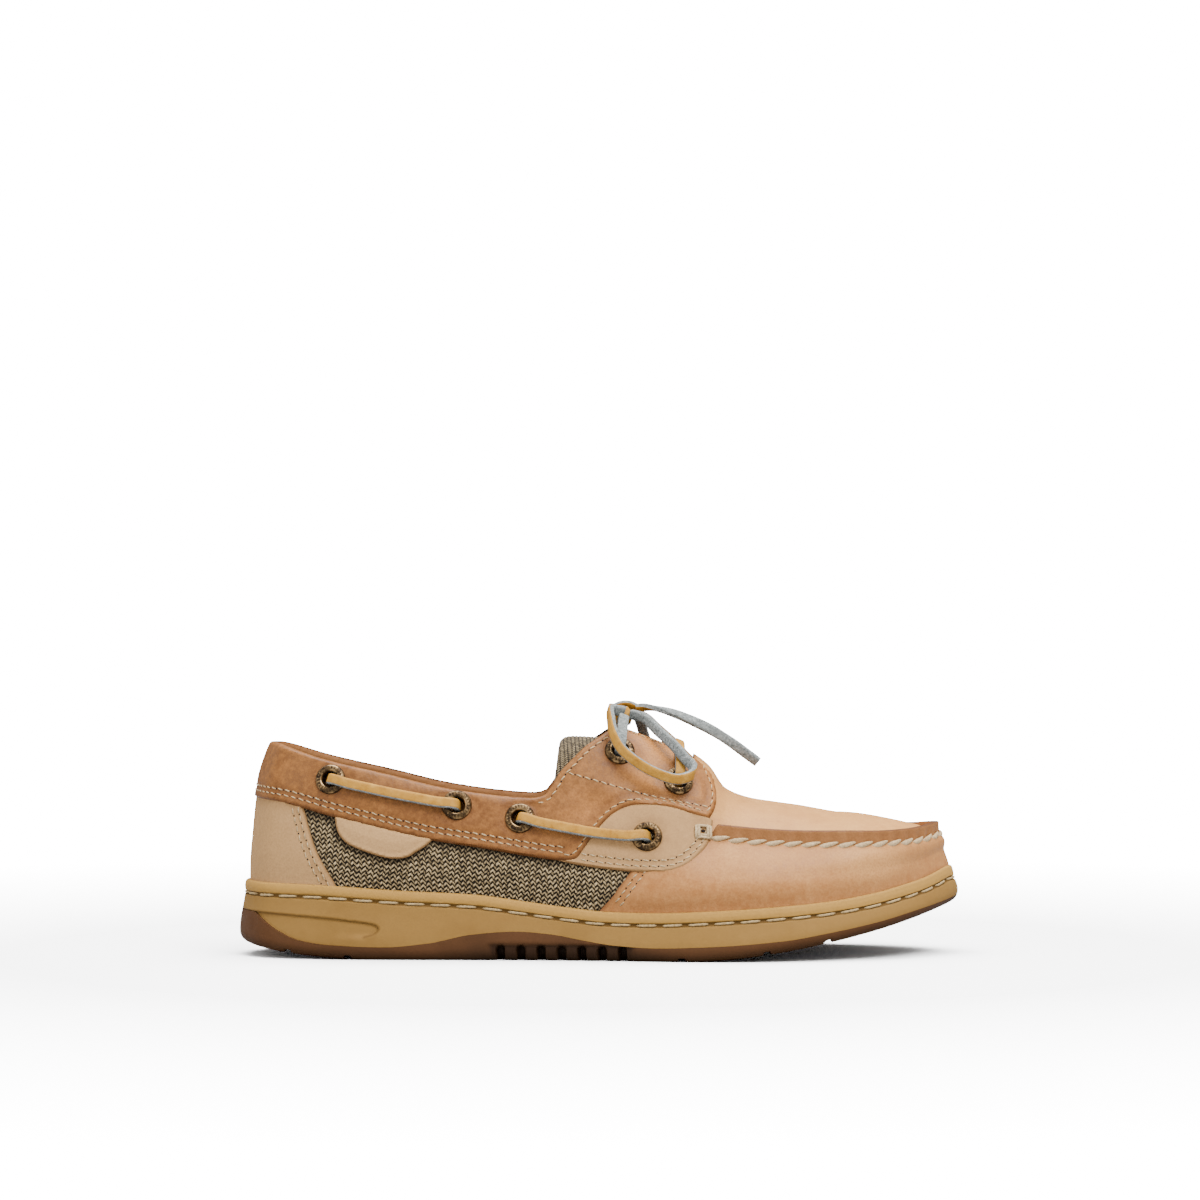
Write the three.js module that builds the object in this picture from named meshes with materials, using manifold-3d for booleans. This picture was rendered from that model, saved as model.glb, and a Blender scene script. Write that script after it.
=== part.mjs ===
// Boat shoe for the right foot. Millimetres, +Z up, the toe toward +X, the lateral side toward -Y.
// The origin is on the floor under the middle of the sole.
import * as THREE from "three";
import { mergeVertices } from "three/addons/utils/BufferGeometryUtils.js";
import Module from "manifold-3d";

const wasm = await Module();
wasm.setup();

// Main sizes
const SOLE_LENGTH = 265;
const BALL_WIDTH = 94;
const HEEL_HEIGHT = 27.5; // floor to the midsole's rim at the heel
const TOE_SPRING = 19; // floor to the outsole's underside at the tip
const HEEL_SPRING = 5;
const HEEL_RISE = 52; // rim to the top of the collar at the heel
const INSTEP_RISE = 70; // rim to the crown of the instep

// Walls and steps
const WALL = 2;
const VAMP_STEP = 0.9;
const BAND_THICKNESS = 1.8;
const SADDLE_THICKNESS = 1.6;
const COUNTER_THICKNESS = 1.1;
const TAB_THICKNESS = 1.9;
const LIP_HEIGHT = 4.8;
const LIP_THICKNESS = 2.2;
const TONGUE_THICKNESS = 2.2;
const INSOLE_THICKNESS = 3.5;

// Sole details
const UPPER_INSET = 4.25; // from the sole's widest outline to the upper
const HEEL_TUCK = 0.85; // further inset at the back of the heel
const HEEL_TUCK_END = 0.125; // share of the sole's length
const CUP_DEPTH = 5; // how far the upper stands down in the midsole
const RIM_CLEARANCE = 0.5; // from the rim up to the vamp and the heel counter
const GROOVE_BELOW_RIM = 4.5;
const GROOVE_WIDTH = 1.6;
const GROOVE_DEPTH = 0.8;
const HEEL_STEP_DEPTH = 0.8;
const RIB_COUNT = 7;
const RIB_PITCH = 7.3;
const RIB_WIDTH = 2.8;
const RIB_DEPTH = 5;
const RIB_HEIGHT = 5.2;
const RIB_CENTRE = 0.447; // share of the sole's length
const SIPE_WIDTH = 2.6;
const SIPE_DEPTH = 1.4;
const SIPES = [0.071, 0.155, 0.61, 0.727, 0.812]; // shares of the sole's length

// Fittings
const EYELET_HOLE = 5.5;
const EYELET_WALL = 0.6;
const EYELET_FLANGE = 11;
const EYELET_PROUD = 1.4;
const LACE_WIDTH = 3.6;
const LACE_THICKNESS = 2;
const CORD_DIAMETER = 3.2;
const KNOT_SIZE = { x: 10.5, y: 9, z: 8.5 };
const KNOT_CENTRE = { x: 8, y: -3, z: 87.5 };
const CROWN_SHIFT = 2; // the crown line lies this far to the medial side of the middle
const RISER_LIFT = 0.5;
const RISER_CLIMB = 0.6; // share of the way from the eyelet to the crown that a riser lies on the wing
const GAP = 0.3;

// Grid density of the curved solids
const STEPS_PER_ROW = 2;
const EYELET_SIDES = 8;

// Plan of the sole: shares of the length, and of half the ball width to either side
const OUTLINE = [
  { at: 0, lateral: 0.04, medial: -0.04 },
  { at: 0.034, lateral: 0.52, medial: 0.45 },
  { at: 0.125, lateral: 0.71, medial: 0.65 },
  { at: 0.225, lateral: 0.755, medial: 0.67 },
  { at: 0.325, lateral: 0.775, medial: 0.64 },
  { at: 0.425, lateral: 0.82, medial: 0.63 },
  { at: 0.525, lateral: 0.895, medial: 0.7 },
  { at: 0.625, lateral: 0.98, medial: 0.84 },
  { at: 0.725, lateral: 0.99, medial: 0.975 },
  { at: 0.825, lateral: 0.85, medial: 0.965 },
  { at: 0.905, lateral: 0.63, medial: 0.82 },
  { at: 0.968, lateral: 0.255, medial: 0.54 },
  { at: 1, lateral: -0.15, medial: 0.15 },
];

// Rim of the midsole and top line of the outsole, as shares of the heel height
const RIM = [
  { at: 0.016, height: 1 },
  { at: 0.104, height: 0.98 },
  { at: 0.228, height: 0.905 },
  { at: 0.326, height: 0.858 },
  { at: 0.403, height: 0.764 },
  { at: 0.451, height: 0.702 },
  { at: 0.51, height: 0.644 },
  { at: 0.568, height: 0.633 },
  { at: 0.636, height: 0.655 },
  { at: 0.742, height: 0.72 },
  { at: 0.809, height: 0.775 },
  { at: 0.877, height: 0.876 },
  { at: 0.916, height: 0.96 },
  { at: 0.949, height: 1.04 },
  { at: 0.984, height: 1.164 },
];
const WAVE = [
  { at: 0, height: 0.61 },
  { at: 0.02, height: 0.605 },
  { at: 0.034, height: 0.516 },
  { at: 0.058, height: 0.37 },
  { at: 0.09, height: 0.244 },
  { at: 0.13, height: 0.19 },
  { at: 0.205, height: 0.167 },
  { at: 0.265, height: 0.218 },
  { at: 0.325, height: 0.335 },
  { at: 0.385, height: 0.378 },
  { at: 0.435, height: 0.342 },
  { at: 0.475, height: 0.273 },
  { at: 0.52, height: 0.207 },
  { at: 0.575, height: 0.178 },
  { at: 0.64, height: 0.196 },
  { at: 0.75, height: 0.276 },
  { at: 0.81, height: 0.367 },
  { at: 0.875, height: 0.487 },
  { at: 0.93, height: 0.615 },
  { at: 0.968, height: 0.7 },
  { at: 1, height: 0.778 },
];

// Crown of the last above the rim, as shares of the instep's rise
const CROWN = [
  { at: 0.13, height: 1.1 },
  { at: 0.3, height: 1.07 },
  { at: 0.42, height: 1.045 },
  { at: 0.5, height: 1 },
  { at: 0.54, height: 0.935 },
  { at: 0.58, height: 0.87 },
  { at: 0.62, height: 0.8 },
  { at: 0.648, height: 0.72 },
  { at: 0.672, height: 0.592 },
  { at: 0.7, height: 0.54 },
  { at: 0.74, height: 0.5 },
  { at: 0.79, height: 0.455 },
  { at: 0.83, height: 0.41 },
];

// Sections of the last. Out is a share of the way from the crown line to the feather line.
// Belly and seam heights above the rim are shares of the named rise, and top is a share
// of the way from the seam up to the crown.
const SECTIONS = [
  { at: 0, rise: HEEL_RISE, bellyOut: 0.98, belly: 0.27, seamOut: 0.857, seam: 0.77, topOut: 0.5, top: 0.6 },
  { at: 0.125, rise: HEEL_RISE, bellyOut: 1.03, belly: 0.23, seamOut: 0.9, seam: 0.77, topOut: 0.55, top: 0.6 },
  { at: 0.25, rise: HEEL_RISE, bellyOut: 1.04, belly: 0.25, seamOut: 0.88, seam: 0.73, topOut: 0.5, top: 0.62 },
  { at: 0.38, rise: HEEL_RISE, bellyOut: 1.04, belly: 0.23, seamOut: 0.84, seam: 0.69, topOut: 0.5, top: 0.66 },
  { at: 0.5, rise: INSTEP_RISE, bellyOut: 1.03, belly: 0.17, seamOut: 0.83, seam: 0.51, topOut: 0.48, top: 0.78 },
  { at: 0.56, rise: INSTEP_RISE, bellyOut: 1.02, belly: 0.157, seamOut: 0.8, seam: 0.51, topOut: 0.48, top: 0.8 },
  { at: 0.65, rise: INSTEP_RISE, bellyOut: 1, belly: 0.143, seamOut: 0.77, seam: 0.371, topOut: 0.48, top: 0.79 },
  { at: 0.7, rise: INSTEP_RISE, bellyOut: 1, belly: 0.136, seamOut: 0.79, seam: 0.333, topOut: 0.45, top: 0.73 },
  { at: 0.76, rise: INSTEP_RISE, bellyOut: 0.985, belly: 0.129, seamOut: 0.8, seam: 0.303, topOut: 0.45, top: 0.73 },
  { at: 0.82, rise: INSTEP_RISE, bellyOut: 0.985, belly: 0.121, seamOut: 0.85, seam: 0.276, topOut: 0.46, top: 0.72 },
  { at: 0.9, rise: INSTEP_RISE, bellyOut: 0.98, belly: 0.107, seamOut: 0.91, seam: 0.229, topOut: 0.47, top: 0.7 },
  { at: 0.96, rise: INSTEP_RISE, bellyOut: 0.965, belly: 0.089, seamOut: 0.925, seam: 0.186, topOut: 0.49, top: 0.67 },
  { at: 1, rise: INSTEP_RISE, bellyOut: 0.958, belly: 0.077, seamOut: 0.92, seam: 0.157, topOut: 0.5, top: 0.64 },
];
const HEEL_POLE = 0.13;
const TOE_POLE = 0.832;
const POLE_BLEND = 0.06;

// Side-view outlines as pairs: share of the upper's length, height above the rim over the heel's rise
const TOPLINE_REAR = [[-0.03, 1.03], [0.026, 0.992], [0.052, 0.965], [0.11, 0.885], [0.2, 0.815], [0.274, 0.745],
  [0.34, 0.716], [0.401, 0.732], [0.422, 0.766]];
const TOPLINE_FRONT = [[0.422, 0.766], [0.432, 0.841], [0.443, 0.938], [0.46, 1.036], [0.479, 1.14],
  [0.5, 1.224], [0.52, 1.3], [0.545, 1.42]];
const BAND_EDGE = [[-0.03, 0.59], [0.004, 0.582], [0.058, 0.554], [0.114, 0.49], [0.174, 0.438], [0.222, 0.397],
  [0.265, 0.364], [0.331, 0.334], [0.411, 0.322], [0.452, 0.326]];
const LOBE_EDGE = [[0.452, 0.326], [0.465, 0.344], [0.476, 0.406], [0.489, 0.505], [0.508, 0.627], [0.524, 0.694],
  [0.541, 0.733], [0.556, 0.742], [0.581, 0.738], [0.606, 0.713], [0.638, 0.659], [0.654, 0.633]];
const WING_FRONT = [[0.654, 0.633], [0.663, 0.699], [0.667, 0.785], [0.664, 0.886], [0.656, 0.98], [0.65, 1.1]];
const SADDLE_EDGE = [[0.434, 0.327], [0.462, 0.312], [0.492, 0.306], [0.541, 0.291], [0.573, 0.288], [0.597, 0.291],
  [0.618, 0.321], [0.634, 0.373], [0.651, 0.46], [0.656, 0.529], [0.66, 0.62]];
const COUNTER_EDGE = [[0.078, 0.57], [0.098, 0.242], [0.133, -0.05]];
const TAB_EDGE = [[0.125, 0.5], [0.129, 0.386], [0.142, 0.309], [0.167, 0.261], [0.197, 0.226], [0.215, 0.225],
  [0.229, 0.24], [0.241, 0.28], [0.255, 0.326], [0.27, 0.4]];
const VAMP_EDGE = [[0.49, -0.05], [0.514, 0.085], [0.528, 0.183], [0.545, 0.3], [0.56, 0.4]];
const VAMP_TOP = [[0.56, 0.4], [0.6, 0.6], [0.63, 0.9], [0.64, 1.6]];

// Throat seen from above as pairs: share of the upper's length, half width over half the ball width
const THROAT = [[0.3, 0.245], [0.55, 0.245], [0.585, 0.235], [0.61, 0.17], [0.622, 0]];
const WING_GAP = [[0.3, 0.26], [0.55, 0.26], [0.63, 0.3], [0.655, 0.35], [0.68, 0.46]];
const TONGUE_PLAN = [[0.4, 0.1], [0.405, 0.32], [0.44, 0.43], [0.53, 0.44], [0.68, 0.4], [0.7, 0.2]];
const TONGUE_BACK = [[0.428, 0.6], [0.437, 0.95], [0.441, 1.1], [0.446, 1.16], [0.462, 1.2]];
const TONGUE_SAG = 9.5; // how far the free end lies below the last's crown
const LIP_START = 0.66;
const LIP_FULL = 0.68;

// Eyelets as shares in side view, rear to front, then the two beside the throat
const EYELETS = [
  { at: 0.119, up: 0.74, seat: "band" },
  { at: 0.298, up: 0.614, seat: "band" },
  { at: 0.387, up: 0.572, seat: "band" },
  { at: 0.566, up: 0.528, seat: "saddle" },
  { at: 0.528, up: 1.111, seat: "band" },
  { at: 0.611, up: 0.9, seat: "band" },
];
const SEATS = { band: GAP + BAND_THICKNESS, saddle: GAP + SADDLE_THICKNESS };

// Lace routes above the throat, chosen by hand: x, y, z
const LOOP_ROUTE = [[4.6, -9.6, 89.8], [3.8, -17, 89.4], [4, -23.5, 86.4], [5, -28.6, 81.5], [7.8, -31.8, 76.2],
  [14, -34.3, 71], [21, -35.8, 67.3], [28, -36, 65.4], [32.8, -34, 66.8], [33.6, -31, 69.5], [31, -29, 72.5],
  [27, -25.5, 77], [21.5, -19.5, 82], [16.4, -11.6, 86.6]];
const END_ROUTE = [[13.2, -2, 90], [16.5, -2, 90.5], [21, -3, 90], [27, -4, 88.4], [34, -5, 85.6], [41, -5.5, 82.2],
  [48, -6, 77.8], [54, -6, 73.4], [58, -6, 70.4]];
const FAR_END_ROUTE = [[9, 4.5, 90], [11.5, 8.5, 90], [13.5, 13, 88], [15, 17.5, 84.5], [16.3, 21.5, 80.3],
  [17.6, 25, 75.8], [18.6, 27.6, 71.6]];

const UP = new THREE.Vector3(0, 0, 1);
const BIG = 400;
const UPPER_LENGTH = SOLE_LENGTH - 2 * UPPER_INSET;
const FLOOR_DROP = CUP_DEPTH + GAP;

const clamp = (value, low, high) => Math.min(Math.max(value, low), high);
const mix = (a, b, t) => a + (b - a) * t;
const smoothMin = (a, b, k) => {
  const h = clamp(0.5 + (b - a) / (2 * k), 0, 1);
  return mix(b, a, h) - k * h * (1 - h);
};

// Monotone cubic through one column of a table
function along(table, column, at) {
  const last = table.length - 1;
  const secant = (k) => (table[k + 1][column] - table[k][column]) / (table[k + 1].at - table[k].at);
  const slope = (k) => {
    if (k === 0) return secant(0);
    if (k === last) return secant(last - 1);
    const product = secant(k - 1) * secant(k);
    return product <= 0 ? 0 : (2 * product) / (secant(k - 1) + secant(k));
  };
  let k = 0;
  while (k < last - 1 && at > table[k + 1].at) k += 1;
  const span = table[k + 1].at - table[k].at;
  const t = clamp((at - table[k].at) / span, 0, 1);
  const ease = t * t * (3 - 2 * t);
  const bend = (1 - t) * t * ((1 - t) * slope(k) - t * slope(k + 1));
  return mix(table[k][column], table[k + 1][column], ease) + span * bend;
}

const soleShare = (x) => x / SOLE_LENGTH + 0.5;
const rimAt = (x) => HEEL_HEIGHT * along(RIM, "height", soleShare(x));
const waveAt = (x) => HEEL_HEIGHT * along(WAVE, "height", soleShare(x));
const TOE_LIFT_START = 0.62;
const TOE_LIFT_POWER = 1.6;
const HEEL_LIFT_END = 0.2;
const HEEL_LIFT_POWER = 2;

function bottomAt(x) {
  const at = soleShare(x);
  const toe = Math.max(0, (at - TOE_LIFT_START) / (1 - TOE_LIFT_START));
  const heel = Math.max(0, (HEEL_LIFT_END - at) / HEEL_LIFT_END);
  return TOE_SPRING * toe ** TOE_LIFT_POWER + HEEL_SPRING * heel ** HEEL_LIFT_POWER;
}

// Closed ring of the sole's plan: heel tip, lateral rows, toe tip, medial rows
const ROWS = OUTLINE.length - 1;
const RING = 2 * ROWS;
const KNOTS = Array.from({ length: RING }, (_, k) => {
  const row = OUTLINE[k <= ROWS ? k : RING - k];
  return { x: row.at - 0.5, y: k <= ROWS ? -row.lateral : row.medial };
});

function catmull(a, b, c, d, t) {
  const bend = 2 * a - 5 * b + 4 * c - d + (3 * (b - c) + d - a) * t;
  return b + 0.5 * t * (c - a + bend * t);
}

function ringShare(w, axis) {
  const turn = ((w % RING) + RING) % RING;
  const k = Math.floor(turn);
  const knot = (step) => KNOTS[(k + step + RING) % RING][axis];
  return catmull(knot(-1), knot(0), knot(1), knot(2), turn - k);
}

const reach = Array.from({ length: RING * 20 }, (_, k) => ringShare(k / 20, "y"));
const WIDEST = { low: Math.min(...reach), high: Math.max(...reach) };
const ringX = (w) => SOLE_LENGTH * ringShare(w, "x");
const ringY = (w) => {
  const middle = (WIDEST.low + WIDEST.high) / 2;
  return (BALL_WIDTH * (ringShare(w, "y") - middle)) / (WIDEST.high - WIDEST.low);
};

// Point of the plan outline, moved inward by the inset
function outline(w, inset) {
  const step = 0.02;
  const dx = ringX(w + step) - ringX(w - step);
  const dy = ringY(w + step) - ringY(w - step);
  const length = Math.hypot(dx, dy);
  return { x: ringX(w) - (inset * dy) / length, y: ringY(w) + (inset * dx) / length };
}

const tuckAt = (w) => HEEL_TUCK * clamp(1 - soleShare(ringX(w)) / HEEL_TUCK_END, 0, 1);

// Side-to-side place of the crown line
function middleY(x) {
  const at = soleShare(x);
  return ((along(OUTLINE, "medial", at) - along(OUTLINE, "lateral", at)) * BALL_WIDTH) / 4 + CROWN_SHIFT;
}

// Point of the crown line that a place on the outline looks toward
function spine(w) {
  const low = (HEEL_POLE - 0.5) * SOLE_LENGTH;
  const high = (TOE_POLE - 0.5) * SOLE_LENGTH;
  const blend = POLE_BLEND * SOLE_LENGTH;
  const x = -smoothMin(-smoothMin(ringX(w), high, blend), -low, blend);
  const at = soleShare(x);
  return { x, y: middleY(x), z: rimAt(x) + INSTEP_RISE * along(CROWN, "height", at) };
}

// The last: w runs round the outline, v climbs from the feather edge (0) over the rim (1),
// belly (2), seam (3) and top (4) to the crown (5)
const CROWN_ROW = 5;
const SEAM_ROW = 3;

function last(w, v) {
  const foot = outline(w, UPPER_INSET + tuckAt(w));
  const crown = spine(w);
  const at = soleShare(ringX(w));
  const value = (column) => along(SECTIONS, column, at);
  const rim = rimAt(foot.x);
  const rise = along(SECTIONS, "rise", at);
  const seam = rim + value("seam") * rise;
  const top = mix(seam, crown.z, value("top"));
  const outs = [1, 1, 1, value("bellyOut"), value("seamOut"), value("topOut"), 0, -value("topOut")];
  const heights = [rim - 2 * CUP_DEPTH, rim - CUP_DEPTH, rim, rim + value("belly") * rise, seam, top, crown.z, top];
  const k = Math.min(Math.floor(v), CROWN_ROW - 1);
  const pick = (list) => catmull(list[k], list[k + 1], list[k + 2], list[k + 3], v - k);
  const out = pick(outs);
  const x = mix(crown.x, foot.x, out);
  const y = mix(crown.y, foot.y, out);
  return new THREE.Vector3(x, y, pick(heights));
}

function lastNormal(w, v) {
  const step = 0.02;
  if (v > CROWN_ROW - step) {
    const { x } = spine(w);
    const height = (place) => rimAt(place) + INSTEP_RISE * along(CROWN, "height", soleShare(place));
    return new THREE.Vector3(height(x - 1) - height(x + 1), 0, 2).normalize();
  }
  const round = last(w + step, v).sub(last(w - step, v));
  const climb = last(w, v + step).sub(last(w, Math.max(v - step, 0)));
  return round.cross(climb).normalize();
}

const skin = (w, v, offset) => last(w, v).addScaledVector(lastNormal(w, v), offset);

// Closed triangle mesh from a list of corner points
function closedGeometry(points, triangles) {
  let volume = 0;
  for (const [a, b, c] of triangles) volume += points[a].dot(points[b].clone().cross(points[c]));
  const index = triangles.flatMap(([a, b, c]) => (volume > 0 ? [a, b, c] : [a, c, b]));
  const geometry = new THREE.BufferGeometry();
  geometry.setFromPoints(points);
  geometry.setIndex(index);
  return geometry;
}

// Rows of points round the shoe, closed below and above by strips from side to side
function ringSolid(rowCount, point) {
  const around = RING * STEPS_PER_ROW;
  const points = [];
  for (let i = 0; i < around; i += 1) {
    for (let j = 0; j < rowCount; j += 1) points.push(point(i / STEPS_PER_ROW, j));
  }
  const id = (i, j) => (((i % around) + around) % around) * rowCount + j;
  const triangles = [];
  const quad = (a, b, c, d) => triangles.push([a, b, c], [a, c, d]);
  for (let i = 0; i < around; i += 1) {
    for (let j = 0; j < rowCount - 1; j += 1) quad(id(i, j), id(i + 1, j), id(i + 1, j + 1), id(i, j + 1));
  }
  const top = rowCount - 1;
  for (let i = 0; i < around / 2; i += 1) {
    quad(id(i + 1, 0), id(i, 0), id(-i, 0), id(-i - 1, 0));
    quad(id(i, top), id(i + 1, top), id(-i - 1, top), id(-i, top));
  }
  return solid(closedGeometry(points, triangles));
}

// Three.js geometry to a solid, and back to a named mesh
function solid(geometry) {
  const bare = geometry.clone();
  bare.deleteAttribute("normal");
  bare.deleteAttribute("uv");
  const merged = mergeVertices(bare, 1e-4);
  const corners = merged.index.array;
  const triVerts = [];
  for (let k = 0; k < corners.length; k += 3) {
    const [a, b, c] = [corners[k], corners[k + 1], corners[k + 2]];
    if (a !== b && b !== c && a !== c) triVerts.push(a, b, c);
  }
  return new wasm.Manifold(new wasm.Mesh({
    numProp: 3,
    vertProperties: new Float32Array(merged.attributes.position.array),
    triVerts: new Uint32Array(triVerts),
  }));
}

const shoe = new THREE.Group();

function addMesh(name, body, material) {
  const mesh = body.getMesh();
  const geometry = new THREE.BufferGeometry();
  geometry.setAttribute("position", new THREE.BufferAttribute(new Float32Array(mesh.vertProperties), 3));
  geometry.setIndex(new THREE.BufferAttribute(new Uint32Array(mesh.triVerts), 1));
  geometry.computeVertexNormals();
  const piece = new THREE.Mesh(geometry, material);
  piece.name = name;
  shoe.add(piece);
}

const leather = (color) => new THREE.MeshStandardMaterial({ color, roughness: 0.6, metalness: 0 });
const BROWN = leather(0x9a5a2c);
const BEIGE = leather(0xcdb898);
const KNIT = leather(0x8f7656);
const LACE = leather(0xb88a3e);
const TAN_FOAM = new THREE.MeshStandardMaterial({ color: 0xc9a066, roughness: 0.7, metalness: 0 });
const RED_RUBBER = new THREE.MeshStandardMaterial({ color: 0x8c4a2f, roughness: 0.75, metalness: 0 });
const BRASS = new THREE.MeshStandardMaterial({ color: 0x8a6f3c, roughness: 0.4, metalness: 0.9 });

// Side-view places and cutters
const sideX = (at) => (at - 0.5) * UPPER_LENGTH;
const sideZ = (at, up) => rimAt(sideX(at)) + up * HEEL_RISE;
const sidePoint = ([at, up]) => new THREE.Vector2(sideX(at), sideZ(at, up));
const planPoint = ([at, half]) => new THREE.Vector2(sideX(at), (half * BALL_WIDTH) / 2);
const smooth = (points, steps = 14) => new THREE.SplineCurve(points).getPoints(steps);
const sideEdge = (pairs, steps) => smooth(pairs.map(sidePoint), steps);

// Moves a closed outline outward by a gap
function grown(points, gap) {
  const sign = THREE.ShapeUtils.isClockWise(points) ? -1 : 1;
  return points.map((point, k) => {
    const before = points[(k + points.length - 1) % points.length];
    const after = points[(k + 1) % points.length];
    const run = after.clone().sub(before).normalize();
    return new THREE.Vector2(point.x + sign * gap * run.y, point.y - sign * gap * run.x);
  });
}

function sidePrism(points, low = -BIG / 2, high = BIG / 2) {
  const geometry = new THREE.ExtrudeGeometry(new THREE.Shape(points), { depth: high - low, bevelEnabled: false });
  geometry.rotateX(Math.PI / 2);
  geometry.translate(0, high, 0);
  return solid(geometry);
}

function planPrism(halfEdge) {
  const side = (sign) => halfEdge.map(({ x, y }) => new THREE.Vector2(x, middleY(x) + sign * y));
  const shape = new THREE.Shape([...side(-1).reverse(), ...side(1)]);
  return solid(new THREE.ExtrudeGeometry(shape, { depth: BIG, bevelEnabled: false }));
}

const corner = (x, z) => new THREE.Vector2(x, z);
const box = (x, y, z, sx, sy, sz) => solid(new THREE.BoxGeometry(sx, sy, sz).translate(x, y, z));

function rimLine(lift, heightAt = rimAt) {
  const count = 40;
  const half = SOLE_LENGTH / 2 + 5;
  return Array.from({ length: count + 1 }, (_, k) => {
    const x = mix(-half, half, k / count);
    return corner(x, heightAt(x) + lift);
  });
}

const aboveLine = (line) => sidePrism([...line, corner(BIG / 2, BIG), corner(-BIG / 2, BIG)]);
const belowLine = (line) => sidePrism([...line, corner(BIG / 2, -BIG), corner(-BIG / 2, -BIG)]);

// Sole
function soleForm() {
  const rows = [
    { from: "bottom", rise: 0, inset: 3 },
    { from: "bottom", rise: 0.5, inset: 1.4 },
    { from: "bottom", rise: 2, inset: 0.4 },
    { from: "bottom", rise: 4.5, inset: 0 },
    { from: "rim", rise: -8.5, inset: 0.9 },
    { from: "rim", rise: -GROOVE_BELOW_RIM - GROOVE_WIDTH / 2, inset: 1.6 },
    { from: "rim", rise: -GROOVE_BELOW_RIM - GROOVE_WIDTH / 4, inset: 1.7 + GROOVE_DEPTH },
    { from: "rim", rise: -GROOVE_BELOW_RIM + GROOVE_WIDTH / 4, inset: 1.7 + GROOVE_DEPTH },
    { from: "rim", rise: -GROOVE_BELOW_RIM + GROOVE_WIDTH / 2, inset: 1.8 },
    { from: "rim", rise: -0.9, inset: 2.2 },
    { from: "rim", rise: 0, inset: 3.1 },
  ];
  return ringSolid(rows.length, (w, j) => {
    const row = rows[j];
    const place = outline(w, row.inset);
    const x = ringX(w);
    const base = row.from === "rim" ? rimAt(place.x) : bottomAt(x);
    return new THREE.Vector3(place.x, place.y, base + row.rise);
  });
}

// Flat-ended pocket or slab that follows the rim's height
function cupSlab(inset, low, high) {
  return ringSolid(2, (w, j) => {
    const place = outline(w, inset + tuckAt(w));
    return new THREE.Vector3(place.x, place.y, rimAt(place.x) + (j === 0 ? low : high));
  });
}

function archRibs() {
  const cutters = [];
  for (let k = 0; k < RIB_COUNT; k += 1) {
    const x = (RIB_CENTRE - 0.5) * SOLE_LENGTH + (k - (RIB_COUNT - 1) / 2) * RIB_PITCH;
    const arch = new THREE.Shape();
    const half = RIB_WIDTH / 2;
    const spring = RIB_HEIGHT - half;
    arch.moveTo(x - half, -1);
    arch.lineTo(x + half, -1);
    arch.lineTo(x + half, spring);
    arch.absarc(x, spring, half, 0, Math.PI, false);
    cutters.push(sidePrism(arch.getPoints(3)));
  }
  const keep = ringSolid(2, (w, j) => {
    const place = outline(w, RIB_DEPTH);
    return new THREE.Vector3(place.x, place.y, j === 0 ? -BIG / 4 : BIG / 4);
  });
  return cutters.reduce((all, next) => all.add(next)).subtract(keep);
}

function sipes() {
  return SIPES.map((at) => {
    const x = (at - 0.5) * SOLE_LENGTH;
    const z = bottomAt(x);
    return box(x, 0, z - SIPE_DEPTH, SIPE_WIDTH, BIG / 2, 4 * SIPE_DEPTH);
  }).reduce((all, next) => all.add(next));
}

// Lower edge of the raised heel part: pairs of sole share and height over the heel height
const HEEL_STEP_EDGE = [[-0.02, 0.62], [0.032, 0.6], [0.074, 0.578], [0.132, 0.535], [0.174, 0.492], [0.19, 0.473],
  [0.197, 0.407], [0.199, 0.356], [0.19, 0.2]];

function heelStep() {
  const places = HEEL_STEP_EDGE.map(([at, up]) => corner((at - 0.5) * SOLE_LENGTH, up * HEEL_HEIGHT));
  const line = [...smooth(places, 16), corner(-BIG / 2, 0), corner(-BIG / 2, places[0].y)];
  const keep = ringSolid(2, (w, j) => {
    const place = outline(w, HEEL_STEP_DEPTH);
    return new THREE.Vector3(place.x, place.y, j === 0 ? -BIG / 4 : BIG / 4);
  });
  return sidePrism(line).subtract(keep);
}

const sole = soleForm();
const cup = cupSlab(UPPER_INSET - GAP, -FLOOR_DROP, HEEL_HEIGHT);
const outsole = sole.intersect(belowLine(rimLine(0, waveAt))).subtract(archRibs()).subtract(sipes());
const midsole = sole.subtract(belowLine(rimLine(GAP, waveAt))).subtract(cup).subtract(heelStep());
const insole = cupSlab(UPPER_INSET + WALL + GAP, GAP - FLOOR_DROP, GAP - FLOOR_DROP + INSOLE_THICKNESS);

// Larger and smaller forms of the last
const PLAIN_ROWS = [0, 1, 2, 2.5, 3, 3.5, 4, 4.5, CROWN_ROW];

function form(offset, drop = 0) {
  return ringSolid(PLAIN_ROWS.length, (w, j) => {
    const point = skin(w, PLAIN_ROWS[j], offset);
    if (j === 0) point.z -= drop;
    return point;
  });
}

// Vamp and plug, with the lip that stands up along the hand-sewn seam
function vampForm(offset) {
  const below = [0, 1, 2, 2.5, 2.8];
  const above = [3.4, 4, 4.5, CROWN_ROW];
  const lipRows = 4;
  return ringSolid(below.length + lipRows + above.length, (w, j) => {
    if (j < below.length) return skin(w, below[j], offset);
    if (j >= below.length + lipRows) return skin(w, above[j - below.length - lipRows], offset);
    const foot = skin(w, SEAM_ROW, offset);
    const fade = clamp((foot.x - sideX(LIP_START)) / (sideX(LIP_FULL) - sideX(LIP_START)), 0, 1);
    const centre = spine(w);
    const radius = Math.hypot(foot.x - centre.x, foot.y - centre.y);
    const lipTop = foot.z + fade * LIP_HEIGHT;
    const inner = skin(w, SEAM_ROW + (2 * LIP_THICKNESS) / radius, offset);
    if (j === below.length) return foot;
    if (j === below.length + 1) return foot.setZ(lipTop);
    if (j === below.length + 2) return inner.setZ(Math.max(lipTop, inner.z));
    return inner;
  });
}

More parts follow.
